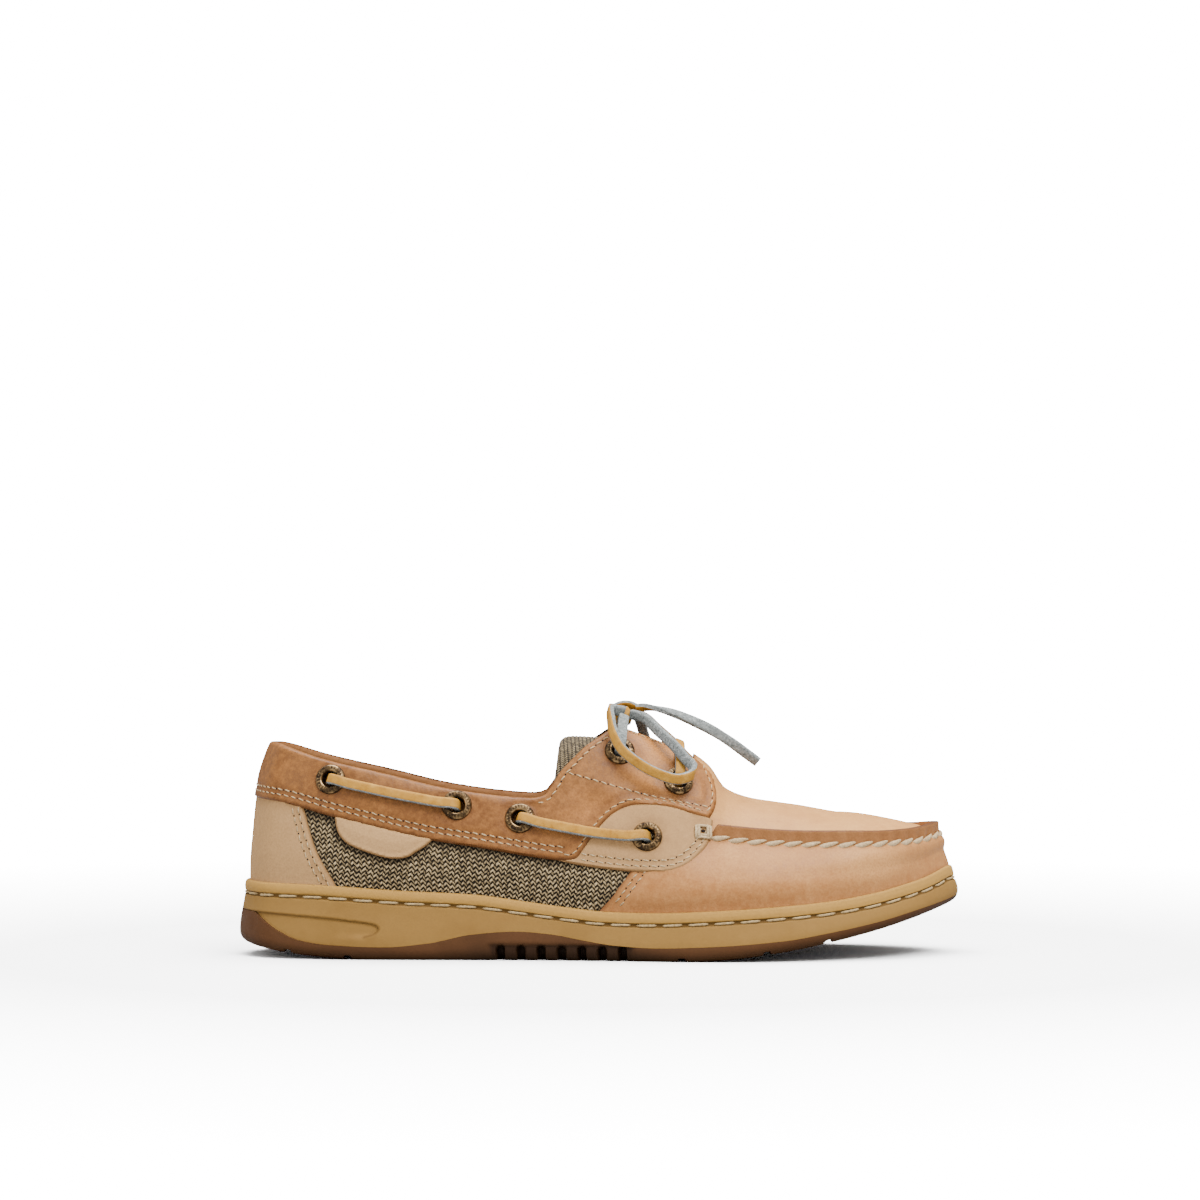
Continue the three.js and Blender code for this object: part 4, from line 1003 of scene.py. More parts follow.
def band_offset(base, w, v, sd):
    points = base + last_normal(w, v) * BAND_TOP
    level = rolled(np.maximum(below_top(points), 0), 2.0, 0.05, BAND_TOP)
    level = np.minimum(level, rolled(np.maximum(-in_plan(points, WING_POLYGON), 0), 0.9, 0.3, BAND_TOP))
    level = np.minimum(level, rolled(np.maximum(in_side(points, BAND_POLYGON), 0), 0.8, 1.2, BAND_TOP))
    pressed = 0.28 * bell(in_side(points, BAND_POLYGON), 3.8, 1.8)
    fade = smoothstep(0, 4, sd)
    return level - pressed * fade + (creases(points, BAND_CREASES) + dimples(points)) * fade


def band_darkening(base, w, v, sd):
    points = base + last_normal(w, v) * BAND_TOP
    rows = 0.8 * bell(in_side(points, BAND_POLYGON), 3.8, 2.0)
    rings = bell(from_holes(points), 5.0, 3.5)
    # Darker toward the heel.
    rear = 0.5 * smoothstep(-5, -25, points[..., 0])
    return np.clip(np.maximum(rows, rings) + rear, 0, 1)


def band_tone(base, w, v, sd):
    return smoothstep(-4, 20, base[..., 0]) * (1 - 0.6 * band_darkening(base, w, v, sd))


def band_cut(base, w, v, sd):
    """Distance from the cut edges; the collar's top is folded over, so it has none."""
    points = base + last_normal(w, v) * BAND_TOP
    front = smoothstep(-6, 4, points[..., 0])
    return np.clip(mix(np.maximum(in_side(points, BAND_POLYGON), 0), np.maximum(sd, 0), front), 0, 20)


def build_band():
    panel("collar_band", round_heel(0.75, 8.2), even_vs(1.6, 4.97, 0.75), band_distance, band_offset,
          PANEL_FOOT, [BAND_LEATHER], "upper_leather", ["collar_eyestay"],
          extra={"press_and_shade": band_darkening, "tone_and_highlight": band_tone, "edge": band_cut})


def under_band(points):
    """How far a place lies under the collar band: 0 beside it, 1 well below it."""
    return smoothstep(-0.2, 1.2, in_side(points, BAND_POLYGON))


def saddle_distance(w, v):
    points = skin(w, v, SADDLE_TOP)
    sd = np.minimum(in_side(points, SADDLE_POLYGON), from_holes(points) - EYELET_CUT)
    return np.minimum(sd, 2.2 - in_side(points, BAND_POLYGON))


def saddle_offset(base, w, v, sd):
    points = base + last_normal(w, v) * SADDLE_TOP
    edge = np.maximum(in_side(points, SADDLE_POLYGON), 0)
    pressed = 0.25 * bell(edge, 3.0, 1.5)
    level = rolled(edge, 0.8, 1.1, SADDLE_TOP) - pressed + dimples(points) * smoothstep(0, 3, sd)
    return level - 1.1 * under_band(points)


def saddle_press(base, w, v, sd):
    points = base + last_normal(w, v) * SADDLE_TOP
    rows = 0.7 * bell(in_side(points, SADDLE_POLYGON), 3.0, 1.6)
    return np.maximum(rows, 0.8 * bell(from_holes(points), 5.0, 3.0))


def build_saddles():
    vs = even_vs(1.4, 4.2, 0.7)
    spans = (("lateral", even_ws(4.6, 8.2, 0.7)), ("medial", even_ws(RING - 8.2, RING - 4.6, 0.7)))
    for label, ws in spans:
        panel(f"saddle_panel_{label}", ws, vs, saddle_distance, saddle_offset, PANEL_FOOT, [BEIGE_LEATHER],
              "trim_leather", [f"saddle_{label}"], extra={"press_and_shade": saddle_press})


def counter_distance(w, v):
    points = skin(w, v, COUNTER_TOP)
    return np.minimum(in_side(points, COUNTER_POLYGON), points[..., 2] - rim_at(points[..., 0]) + 1.5)


def counter_offset(base, w, v, sd):
    points = base + last_normal(w, v) * COUNTER_TOP
    edge = np.maximum(in_side(points, COUNTER_POLYGON), 0)
    return rolled(edge, 0.8, 0.7, COUNTER_TOP) - 0.22 * bell(edge, 2.9, 1.8)


def counter_press_and_shade(base, w, v, sd):
    points = base + last_normal(w, v) * COUNTER_TOP
    # Painted shade in the strip just below the collar band's edge.
    shaded = 0.6 * smoothstep(-0.5, -4.5, in_side(points, BAND_POLYGON)) - 0.6
    return np.clip(0.5 * bell(in_side(points, COUNTER_POLYGON), 2.9, 1.8) - shaded, 0, 1)


def steady(value):
    """The same value at each place of a panel."""
    return lambda base, w, v, sd: np.full(w.shape, value)


def build_counter():
    panel("heel_panel", round_heel(0.75, 3.4), even_vs(0.85, 3.1, 0.75), counter_distance, counter_offset,
          PANEL_FOOT, [BEIGE_LEATHER], "trim_leather", ["heel_counter"],
          extra={"press_and_shade": counter_press_and_shade, "tone_and_highlight": steady(0.6)})


def tab_distance(w, v):
    points = skin(w, v, TAB_TOP)
    return np.minimum(in_side(points, TAB_POLYGON), 1.6 - in_side(points, BAND_POLYGON))


def tab_offset(base, w, v, sd):
    points = base + last_normal(w, v) * TAB_TOP
    edge = np.maximum(in_side(points, TAB_POLYGON), 0)
    swell = 0.35 * smoothstep(1.5, 7.0, edge) - 0.15 * bell(edge, 1.8, 0.8)
    return rolled(edge, 0.9, TAB_TOP - 0.9, TAB_TOP) + swell - 1.3 * under_band(points)


def build_tab():
    panel("half_moon_tab", even_ws(1.4, 4.2, 0.55), even_vs(1.5, 3.2, 0.55), tab_distance, tab_offset, 0.0,
          [BEIGE_LEATHER], "trim_leather", ["side_tab"], extra={"tone_and_highlight": steady(1.0)})


def vamp_distance(w, v):
    points = skin(w, v, VAMP_STEP)
    return np.minimum(in_side(points, VAMP_POLYGON), points[..., 2] - rim_at(points[..., 0]) + 1.2)


def vamp_offset(base, w, v, sd):
    points = base + last_normal(w, v) * VAMP_STEP
    edge = np.maximum(in_side(points, VAMP_POLYGON), 0)
    level = rolled(edge, 0.7, 0.35, VAMP_STEP) - 0.25 * bell(edge, 3.2, 1.6)
    swell = 0.5 * smoothstep(1.0, 1.8, v) * smoothstep(3.0, 2.3, v) * smoothstep(2.0, 8.0, edge)
    swell = swell * smoothstep(122, 100, points[..., 0])
    return level + swell + creases(points, VAMP_CREASES) * smoothstep(3.0, 2.6, v) * smoothstep(0, 3, sd)


def vamp_press_and_shade(base, w, v, sd):
    points = base + last_normal(w, v) * VAMP_STEP
    rows = 0.6 * bell(in_side(points, VAMP_POLYGON), 3.2, 2.2)
    # Painted shade low on the vamp toward the sole, and along the foot of the moc lip.
    low = 0.45 * smoothstep(8.0, 0.0, points[..., 2] - rim_at(points[..., 0]))
    return np.clip(np.maximum(rows, low) + 0.3 * smoothstep(2.7, 3.0, v), 0, 1)


def vamp_painted_highlight(base, w, v, sd):
    """Painted highlight toward the toe, with a fainter one further back."""
    x, z = base[..., 0], base[..., 2]
    toe = 1.2 * np.exp(-((x - 98) / 15) ** 2 - ((z - 35) / 8) ** 2)
    return np.clip(toe + 0.4 * np.exp(-((x - 55) / 22) ** 2 - ((z - 36) / 6) ** 2), 0, 1)


def build_vamp():
    vs = even_vs(0.85, SEAM_ROW, 0.8)
    panel("vamp", both_halves(0.8, 5.6), vs, vamp_distance, vamp_offset, None, [VAMP_LEATHER],
          "upper_leather", ["upper"], extra={"press_and_shade": vamp_press_and_shade, "tone_and_highlight": vamp_painted_highlight})


def plug_distance(w, v):
    points = skin(w, v, VAMP_STEP)
    return np.minimum(in_side(points, VAMP_POLYGON), -in_plan(points, THROAT_POLYGON))


def plug_offset(base, w, v, sd):
    points = base + last_normal(w, v) * VAMP_STEP
    swell = 0.5 * smoothstep(SEAM_ROW, 3.5, v)
    return VAMP_STEP + swell - 0.3 + creases(points, PLUG_CREASES) * smoothstep(3.0, 3.4, v)


def build_plug():
    vs = even_vs(SEAM_ROW, CROWN_ROW, 0.8, 8.5)
    # The plug's press attribute is painted shade along the foot of the moc lip.
    panel("plug", both_halves(0.8, 6.2), vs, plug_distance, plug_offset, None, [PLUG_LEATHER_LIT],
          "upper_leather", ["upper"], extra={"press_and_shade": lambda base, w, v, sd: 0.7 * smoothstep(3.5, 3.0, v)})


KNIT_COLUMN = 2.1
KNIT_ROW = 1.75


def scatter(k, row):
    """Even random numbers from two whole numbers."""
    return np.mod(np.sin(k * 12.9898 + row * 78.233) * 43758.5453, 1)


def knit_height(points):
    """Hooked yarns: a long slanted stroke and a short steep one, shifted from column to column."""
    x = points[..., 0] + 0.25 * np.sin(points[..., 2] * 0.9)
    z = points[..., 2] + 0.12 * points[..., 0]
    k = np.floor(x / KNIT_COLUMN)
    f = x / KNIT_COLUMN - k
    long = f < 0.62
    part = np.where(long, f / 0.62, (f - 0.62) / 0.38) - 0.5
    climb = np.where(long, -1.25 * part, 0.9 * part)
    rise = (z + climb) / KNIT_ROW + 0.5 * np.mod(k, 2) + np.where(long, 0, 0.18) + 0.3 * scatter(k, 3)
    row = np.floor(rise)
    within = np.abs(rise - row - 0.5)
    jitter = scatter(k, row + 0.5 * long)
    body = smoothstep(0.33 + 0.08 * jitter, 0.12, within)
    ends = smoothstep(0.5, 0.36, np.abs(part))
    return body * mix(0.35, 1, ends) * (0.7 + 0.3 * jitter), jitter


def knit_offset(base, w, v, sd):
    height, _ = knit_height(base)
    return -0.15 + 0.6 * height


def knit_painted_shade(base, w, v, sd):
    """Shade beside the panels that lie over the mesh."""
    band = smoothstep(5.5, 0, -in_side(base, BAND_POLYGON))
    tab = smoothstep(3.5, 0, -in_side(base, TAB_POLYGON)) * (base[..., 1] < 0)
    beside = np.maximum(in_side(base, COUNTER_POLYGON), in_side(base, VAMP_POLYGON))
    return np.clip(np.maximum(np.maximum(band, tab), 0.6 * smoothstep(2.5, 0, -beside)), 0, 1)


def build_quarters():
    vs = even_vs(0.85, 3.3, 0.33)
    spans = (("lateral", even_ws(1.25, 6.6, 0.33)), ("medial", even_ws(RING - 6.6, RING - 1.25, 0.33)))

    def distance(w, v):
        points = last(w, v)
        sd = -in_side(points, BAND_POLYGON) + 2.5
        sd = np.minimum(sd, 2.5 - in_side(points, COUNTER_POLYGON))
        sd = np.minimum(sd, 2.5 - in_side(points, VAMP_POLYGON))
        return np.minimum(sd, points[..., 2] - rim_at(points[..., 0]) + 0.8)

    extra = {"yarn": lambda base, w, v, sd: knit_height(base)[0],
             "tone_and_highlight": lambda base, w, v, sd: knit_height(base)[1], "press_and_shade": knit_painted_shade}
    for label, ws in spans:
        panel(f"mesh_quarter_{label}", ws, vs, distance, knit_offset, None, [KNIT], "tongue_mesh", ["upper"],
              extra=extra, sharp=0)


def build_base():
    def distance(w, v):
        points = last(w, v)
        sd = np.minimum(below_top(points) - 0.6, -in_plan(points, THROAT_POLYGON))
        return np.minimum(sd, from_holes(points) - BACKING_CUT)

    panel("upper_backing", round_heel(1.4), even_vs(0.4, CROWN_ROW, 1.4), distance, steady(-0.45), None,
          [BASE_CLOTH], "upper_leather", ["upper"])


def build_lining():
    def distance(w, v):
        points = skin(w, v, BAND_TOP)
        return np.minimum(below_top(points), -in_plan(points, WING_POLYGON))

    def offset(base, w, v, sd):
        points = base + last_normal(w, v) * BAND_TOP
        level = rolled(np.maximum(below_top(points), 0), 2.0, 0.0, WALL)
        wing = rolled(np.maximum(-in_plan(points, WING_POLYGON), 0), 0.9, 0.0, WALL)
        return -np.minimum(level, wing)

    panel("collar_lining", round_heel(1.0), even_vs(0.2, CROWN_ROW, 1.0), distance, offset, None,
          [LINING_LEATHER], "upper_leather", ["upper"], inward=True)


def lip_run():
    """The lip's foot line, its inward direction, how far the lip has risen, and the distance along it."""
    low = locate(-1, side_points([(LIP_START, 0.42)]), VAMP_STEP)[0][0]
    ws = both_halves(0.5, low)
    foot = skin(ws, np.full_like(ws, SEAM_ROW), VAMP_STEP)
    x, y, _ = spine(ws)
    inward = unit(np.stack([x - foot[:, 0], y - foot[:, 1], 0 * x], -1))
    fade = np.clip((foot[:, 0] - side_x(LIP_START)) / (side_x(LIP_FULL) - side_x(LIP_START)), 0, 1)
    return foot, inward, fade, run_along(foot)


# Section of the lip: how far inward, how high, and how much the stitches pull it in
LIP_SECTION = [(0.5, -1.6, 0), (0.0, -0.5, 0.2), (0.05, 0.3, 1), (0.1, 1.0, 1), (0.12, 2.0, 0.8),
               (0.1, 3.0, 0.5), (0.05, 3.9, 0.3), (0.05, 4.45, 0.2), (0.2, 4.72, 0.1), (0.55, 4.8, 0),
               (1.6, 4.8, 0), (2.0, 4.7, 0), (2.2, 4.3, 0), (2.25, 3.2, 0), (2.3, 2.0, 0), (2.45, 0.8, 0),
               (3.0, -0.4, 0)]
SECTION_HEIGHT = 4.8
MOC_PITCH = 6.5


def leaf(t):
    """Thickness of one hand-sewn stitch along its length: round behind, pointed ahead."""
    return np.sqrt(np.clip(t * 3.2, 0, 1)) * np.sqrt(np.clip((1 - t) * 1.7, 0, 1))


def build_lip():
    foot, inward, fade, run = lip_run()
    pucker = np.cos(run / MOC_PITCH * 2 * np.pi)
    section = np.array(LIP_SECTION)
    up = section[:, 1] / SECTION_HEIGHT * LIP_HEIGHT
    wobble = 0.25 * np.sin(run / 21.0) + 0.12 * np.sin(run / 6.3)
    height = np.where(up[None] > 1, up[None] * fade[:, None] + wobble[:, None] * (up[None] > 3), up[None])
    inner = section[None, :, 0] + 0.3 * pucker[:, None] * section[None, :, 2] - 0.2 * section[None, :, 2]
    points = foot[:, None, :] + inward[:, None, :] * inner[..., None]
    points[..., 2] += height
    ids = numbered(*height.shape)
    quads = strips(ids[:-1], ids[1:])
    edge = np.minimum(np.abs(section[:, 1] - SECTION_HEIGHT), 3.0)
    caps = [ids[0].tolist(), ids[-1, ::-1].tolist()]
    make("moc_lip", points.reshape(-1, 3), quads.tolist() + caps, [LIP_LEATHER], "upper_leather", ["upper"],
         {"edge": np.tile(edge, len(height))}, sharp=60)


def build_moc_thread():
    foot, inward, _, run = lip_run()
    count = int(run[-1] / MOC_PITCH)
    t = np.linspace(0, 1, 15)
    ticks = (np.arange(count)[:, None] + mix(-0.06, 1.12, t)[None]) * run[-1] / count
    at = sampled(ticks, run, foot)
    out = -unit(sampled(ticks, run, inward))
    rise = -0.75 + 1.6 * smoothstep(0.1, 1.1, t)
    proud = 0.9 * np.sin(t * np.pi) ** 0.6 - 0.25
    at = at + out * proud[None, :, None]
    at[..., 2] += rise[None]
    thread = tubes(at, out, 1.08 * np.maximum(leaf(t), 0.12), 0.8, sides=10, tip=1.0)
    make("moc_thread", *thread, [THREAD], "trim_leather", ["upper"], sharp=0)


def build_bar_tacks():
    """Wraps of thread that end the hand-sewn seam, one each side."""
    parts, spots = [], []
    for side in (-1, 1):
        centre = np.array([[37.3, 46.3]])
        w, v = locate(side, centre, BAND_TOP)
        middle = skin(w, v, np.array([SADDLE_TOP]))[0]
        out = last_normal(w, v)[0]
        forward = unit(np.array([1.0, 0, 0]) - out * out[0])
        up = unit(np.cross(forward, out)) * (1 if np.cross(forward, out)[2] > 0 else -1)
        t = np.linspace(-1, 1, 9)
        arch = 0.8 - 1.1 * t ** 4
        paths = [middle + forward * shift + up * (t * 2.9)[:, None] + out * arch[:, None]
                 for shift in (-2.7, -1.7, 1.6, 2.6)]
        cross = [middle + up * shift + forward * (t * 3.0)[:, None] + out * (arch - 0.25)[:, None]
                 for shift in (-2.3, -1.4, 2.3)]
        parts.append(tubes(np.array(paths + cross), np.tile(out, (7, 9, 1)), 0.55, 0.9, sides=8))
        # A dark disc of painted shade for the hole under the bar tack.
        spots.append(tubes(np.array([middle + up * 0.5 + forward * (t * 0.7)[:, None] + out * 0.06]),
                           np.tile(out, (1, 9, 1)), 0.55, 0.2, tip=0.6))
    make("bar_tacks", *joined(parts), [THREAD], "trim_leather", ["upper"], sharp=0)
    make("bar_tack_hole_shade", *joined(spots), [PINHOLE_SHADE], "trim_leather", ["upper"], sharp=0)


def build_stitches():
    rows = []

    def row(side, curve, top, offset, project=in_profile):
        w, v = locate(side, even_path(curve, 0.6), top, project)
        rows.append(stitch_row(w, v, offset))

    def kept(curve, low, high):
        return curve[(curve[:, 0] > low) & (curve[:, 0] < high)]

    round_back = np.linspace(-5.25, 5.25, 900)
    for inset in (2.8, 4.7):
        heights = height_row(round_back, BAND_POLYGON, inset, BAND_TOP)
        rows.append(stitch_row(round_back, heights, band_offset))
    lobe = closed(side_curve(BAND_EDGE)[-14:], side_curve(LOBE_EDGE)[1:])
    below = closed(TOP_CURVE[::-1], (-BIG / 2, -BIG), (BIG / 2, -BIG))
    for side in (-1, 1):
        row(side, inset_curve(kept(lobe, -14, 37), BAND_POLYGON, 2.0), BAND_TOP, band_offset)
        row(side, inset_curve(FRONT_CURVE[3:-6], BAND_POLYGON, 2.0), BAND_TOP, band_offset)
        row(side, spline([(-12.0, 67.5), (10, 61.4), (26, 57.8), (39.5, 55.2)], 30), BAND_TOP, band_offset)
        row(side, inset_curve(kept(TOP_CURVE, -24, 2), below, 2.6), BAND_TOP, band_offset)
        for inset in (1.9, 4.0):
            edge = inset_curve(kept(SADDLE_CURVE, -8, BIG)[:-6], SADDLE_POLYGON, inset)
            row(side, edge, SADDLE_TOP, saddle_offset)
            row(side, inset_curve(COUNTER_CURVE[1:-3], COUNTER_POLYGON, inset), COUNTER_TOP, counter_offset)
            row(side, inset_curve(VAMP_CURVE[10:-4], VAMP_POLYGON, inset + 0.3), VAMP_STEP, vamp_offset)
        wing = plan_curve(WING_GAP)
        wing = wing[(wing[:, 0] > 6) & (wing[:, 0] < 36)] + [0, 2.0]
        row(side, wing, BAND_TOP, band_offset, project=in_top)
    threads, holes = zip(*rows)
    make("panel_stitching", *joined(threads), [THREAD], "trim_leather", ["upper"], sharp=0)
    make("panel_pinhole_shade", *joined(holes), [PINHOLE_SHADE], "trim_leather", ["upper"], sharp=0)


# Tongue

def tongue_place(w, v, offset):
    points = skin(w, v, offset)
    reach = (side_x(0.62) - points[..., 0]) / (side_x(0.62) - side_x(0.44))
    points[..., 2] -= TONGUE_SAG * np.clip(reach, 0, 1) ** 1.3
    return points


TONGUE_FACE = -WALL - 0.4
TONGUE_BACK_POLYGON = closed(side_curve(TONGUE_BACK), (side_x(0.462), BIG), (BIG / 2, BIG), (BIG / 2, -BIG),
                             (side_x(0.428), -BIG))


def tongue_distance(w, v):
    points = tongue_place(w, v, TONGUE_FACE)
    sd = np.minimum(in_plan(points, TONGUE_POLYGON), in_side(points, TONGUE_BACK_POLYGON))
    return np.minimum(sd, points[..., 2] - HEEL_HEIGHT - 12)


def herringbone(points):
    column, pitch = 1.45, 1.2
    u = points[..., 0] / column
    k = np.floor(u)
    across = u - k - 0.5
    lean = np.where(np.mod(k, 2) == 0, 1.0, -1.0)
    climb = points[..., 2] - 0.6 * np.abs(points[..., 1] - middle_y(points[..., 0]))
    rise = climb / pitch + lean * across * column / pitch
    row = np.floor(rise)
    body = smoothstep(0.4, 0.12, np.abs(rise - row - 0.5))
    ends = smoothstep(0.5, 0.3, np.abs(across))
    jitter = scatter(k, row)
    return body * ends * (0.7 + 0.3 * jitter), jitter


def build_tongue():
    ws = round_heel(0.33, 8.4)
    half = ws[ws > 3.6]
    spans = (("near", half), ("far", RING - half[::-1]))
    vs = even_vs(2.9, CROWN_ROW, 0.33, 6.0)

    def weave(w, v):
        return herringbone(tongue_place(w, v, 0.0))

    extra = {"yarn": lambda base, w, v, sd: weave(w, v)[0], "tone_and_highlight": lambda base, w, v, sd: weave(w, v)[1]}

    def face(base, w, v, sd):
        swell = 0.3 * weave(w, v)[0]
        return TONGUE_FACE - 0.35 + swell - 1.1 * (1 - rolled(sd, 1.1, 0, 1))

    def back(base, w, v, sd):
        return TONGUE_FACE - TONGUE_THICKNESS + 1.1 * (1 - rolled(sd, 1.1, 0, 1))

    for label, span in spans:
        panel(f"tongue_face_{label}", span, vs, tongue_distance, face, None, [TONGUE_KNIT], "tongue_mesh",
              ["tongue"], extra=extra, sharp=0, place=tongue_place)
        panel(f"tongue_back_{label}", span, vs, tongue_distance, back, None, [TONGUE_LINING], "tongue_mesh",
              ["tongue"], inward=True, sharp=0, place=tongue_place)


# Sole

GROOVE_BELOW = 4.5
GROOVE_DEPTH = 0.8
RIB_COUNT = 7
RIB_PITCH = 7.3
RIB_WIDTH = 2.8
RIB_DEPTH = 5.0
RIB_HEIGHT = 5.2
RIB_CENTRE = 0.447
SIPE_WIDTH = 2.6
SIPE_DEPTH = 1.4
SIPES = (0.071, 0.155, 0.61, 0.727, 0.812)
HEEL_STEP = [(-0.02, 0.62), (0.032, 0.6), (0.074, 0.578), (0.132, 0.535), (0.17, 0.495), (0.185, 0.476),
             (0.194, 0.45), (0.198, 0.405), (0.195, 0.36), (0.188, 0.325), (0.178, 0.3)]
HEEL_STEP_DEPTH = 0.8
HEEL_CURVE = spline([(sole_x(at), up * HEEL_HEIGHT) for at, up in HEEL_STEP], 60)
HEEL_POLYGON = closed(HEEL_CURVE, (sole_x(HEEL_STEP[-1][0]), 0), (-BIG / 2, 0),
                      (-BIG / 2, HEEL_STEP[0][1] * HEEL_HEIGHT))
SOLE_STITCH_PITCH = 9.3
SOLE_STITCH_LENGTH = 8.0
SOLE_STITCH_RADIUS = 0.45


def side_inset(z, x, rim):
    """Inset of the sole's side wall at a height."""
    low = bottom_at(x)
    rounding = 3.0 * (1 - np.sqrt(1 - (1 - np.clip((z - low) / 4.0, 0, 1)) ** 2))
    lean = 2.2 * smoothstep(0, 1, (z - low - 4.0) / np.maximum(rim - 0.9 - low - 4.0, 1))
    top = 0.9 * (1 - np.sqrt(1 - np.clip((z - rim + 0.9) / 0.9, 0, 1) ** 2))
    return rounding + lean + top


def sole_ws(step):
    half = even_ws(0.0, ROWS, step)
    return np.concatenate([half[:-1], RING - half[:0:-1]])


def ring_grid(points, faces_down=False, faces_up=False):
    """Faces of rows that close round the shoe, with strips from side to side below or above."""
    n = len(points)
    ids = numbered(*points.shape[:2])
    quads = strips(ids, np.roll(ids, -1, axis=0)).tolist()
    for i in range(n // 2):
        a, b = ids[i], ids[(i + 1) % n]
        c, d = ids[(-i - 1) % n], ids[(-i) % n]
        if faces_down:
            quads.append([int(b[0]), int(a[0]), int(d[0]), int(c[0])])
        if faces_up:
            quads.append([int(a[-1]), int(b[-1]), int(c[-1]), int(d[-1])])
    return [list(dict.fromkeys(face)) for face in quads if len(set(face)) > 2]


def rib_mask(x, z):
    total = np.zeros(x.shape)
    for k in range(RIB_COUNT):
        centre = sole_x(RIB_CENTRE) + (k - (RIB_COUNT - 1) / 2) * RIB_PITCH
        spring = RIB_HEIGHT - RIB_WIDTH / 2
        gap = np.hypot(x - centre, np.maximum(z - spring, 0)) - RIB_WIDTH / 2
        total = np.maximum(total, np.clip(0.5 - gap / 0.6, 0, 1))
    return total


def rib_zone(x):
    half = RIB_COUNT * RIB_PITCH / 2
    return smoothstep(half + 2, half - 1, np.abs(x - sole_x(RIB_CENTRE)))


def build_outsole():
    ws = sole_ws(0.45)
    t = np.linspace(0, 1, 20) ** 1.5
    x0 = ring_x(ws)[:, None]
    low, high = bottom_at(x0), wave_at(x0)
    z = low + t[None] * (high - low)
    rim = rim_at(x0)
    inset = side_inset(z, x0, rim)
    ribs = rib_mask(x0 + 0 * z, z)
    zone = rib_zone(x0) * smoothstep(RIB_HEIGHT + 1.0, RIB_HEIGHT + 0.2, z)
    inset = inset + RIB_DEPTH * ribs + 0.7 * zone * (1 - ribs)
    for at in SIPES:
        cut = smoothstep(SIPE_WIDTH / 2 + 0.4, SIPE_WIDTH / 2 - 0.3, np.abs(x0 - sole_x(at)))
        z = np.maximum(z, low + SIPE_DEPTH * cut)
    w = ws[:, None] + 0 * z
    x, y = outline(w, inset)
    side = np.stack([x, y, z], -1)
    top_x, top_y = outline(ws, FOOT_INSET)
    inner = np.stack([top_x, top_y, high[:, 0]], -1)[:, None]
    points = np.concatenate([side, inner], 1)
    arch = smoothstep(46, 26, np.abs(x0 - sole_x(RIB_CENTRE)))
    shade = (0.35 + 0.4 * arch) * smoothstep(4.5 + 3.5 * arch, 0.5, z - low)
    # Painted shade in the rib slots and on the set-back band at the arch, and toward the ground, most under
    # the arch.
    dark = np.maximum(np.maximum(0.95 * ribs, 0.82 * zone), shade)
    dark = np.concatenate([dark, np.zeros((len(ws), 1))], 1)
    make("cup_outsole", points.reshape(-1, 3), ring_grid(points, faces_down=True), [OUTSOLE_RUBBER],
         "outsole_rubber", ["outsole"], {"groove": dark.reshape(-1)}, sharp=55)


def heel_step_mask(x, z):
    fade = smoothstep(-100, -87, x) * smoothstep(10, 7, z)
    return smoothstep(-0.35, 0.35, polygon_distance(x, z, HEEL_POLYGON)) * (1 - fade)


def from_heel_step(x, z):
    """Distance from the edge of the heel's emboss."""
    gaps = [segment_gap(x, z, start, end) for start, end in zip(HEEL_CURVE[:-1], HEEL_CURVE[1:])]
    return np.min(gaps, axis=0)


def build_midsole():
    ws = sole_ws(0.6)
    x0 = ring_x(ws)[:, None]
    low = wave_at(x0) + 0.06
    rim_line = rim_at(outline(ws, RIM_INSET)[0])[:, None]
    t = np.linspace(0, 1, 44)[None]
    z = low + t * (rim_line - low)
    near_top = np.clip((t - 0.9) / 0.1, 0, 1)
    z = np.where(t > 0.9, mix(low + 0.9 * (rim_line - low), rim_line, np.sin(near_top * np.pi / 2)), z)
    inset = side_inset(z, x0, rim_line)
    from_groove = np.abs(z - (rim_line - GROOVE_BELOW))
    groove = smoothstep(0.85, 0.45, from_groove)
    step = heel_step_mask(x0 + 0 * z, z)
    bead = 0.35 * bell(z - rim_line, -2.2, 1.3)
    inset = inset + GROOVE_DEPTH * groove + HEEL_STEP_DEPTH * step - bead
    w = ws[:, None] + 0 * z
    x, y = outline(w, inset)
    side = np.stack([x, y, z], -1)
    inner = []
    for more, drop in ((3.1, 0.0), (3.95, 0.0), (3.95, -1.0), (3.95, -CUP_DEPTH - GAP)):
        ix, iy = outline(ws, more + tuck_at(ws) * (more > 3.5))
        inner.append(np.stack([ix, iy, rim_at(ix) + drop], -1))
    foot_x, foot_y = outline(ws, FOOT_INSET)
    foot = np.stack([foot_x, foot_y, low[:, 0]], -1)
    points = np.concatenate([foot[:, None], side, np.stack(inner, 1)], 1)
    # Painted shade in the stitch groove, and a painted shadow line along the heel emboss's edge.
    dark = smoothstep(0.95, 0.6, from_groove) * 0.75
    line = 0.6 * bell(from_heel_step(x0 + 0 * z, z), 0, 0.45)
    # Painted highlight on the rim's top and on the inner rows, as if lit from above.
    painted_rim_highlight = 0.75 * smoothstep(5.0, 3.0, rim_line - z)
    edge = np.zeros((len(ws), 1))
    dark = np.concatenate([edge, np.maximum(dark, line), np.zeros((len(ws), 4))], 1)
    bright = np.concatenate([edge, painted_rim_highlight, np.full((len(ws), 4), 0.75)], 1)
    make("cup_midsole", points.reshape(-1, 3), ring_grid(points, faces_up=True), [MIDSOLE_RUBBER],
         "midsole_rubber", ["midsole"], {"groove": dark.reshape(-1), "glow": bright.reshape(-1)}, sharp=55)


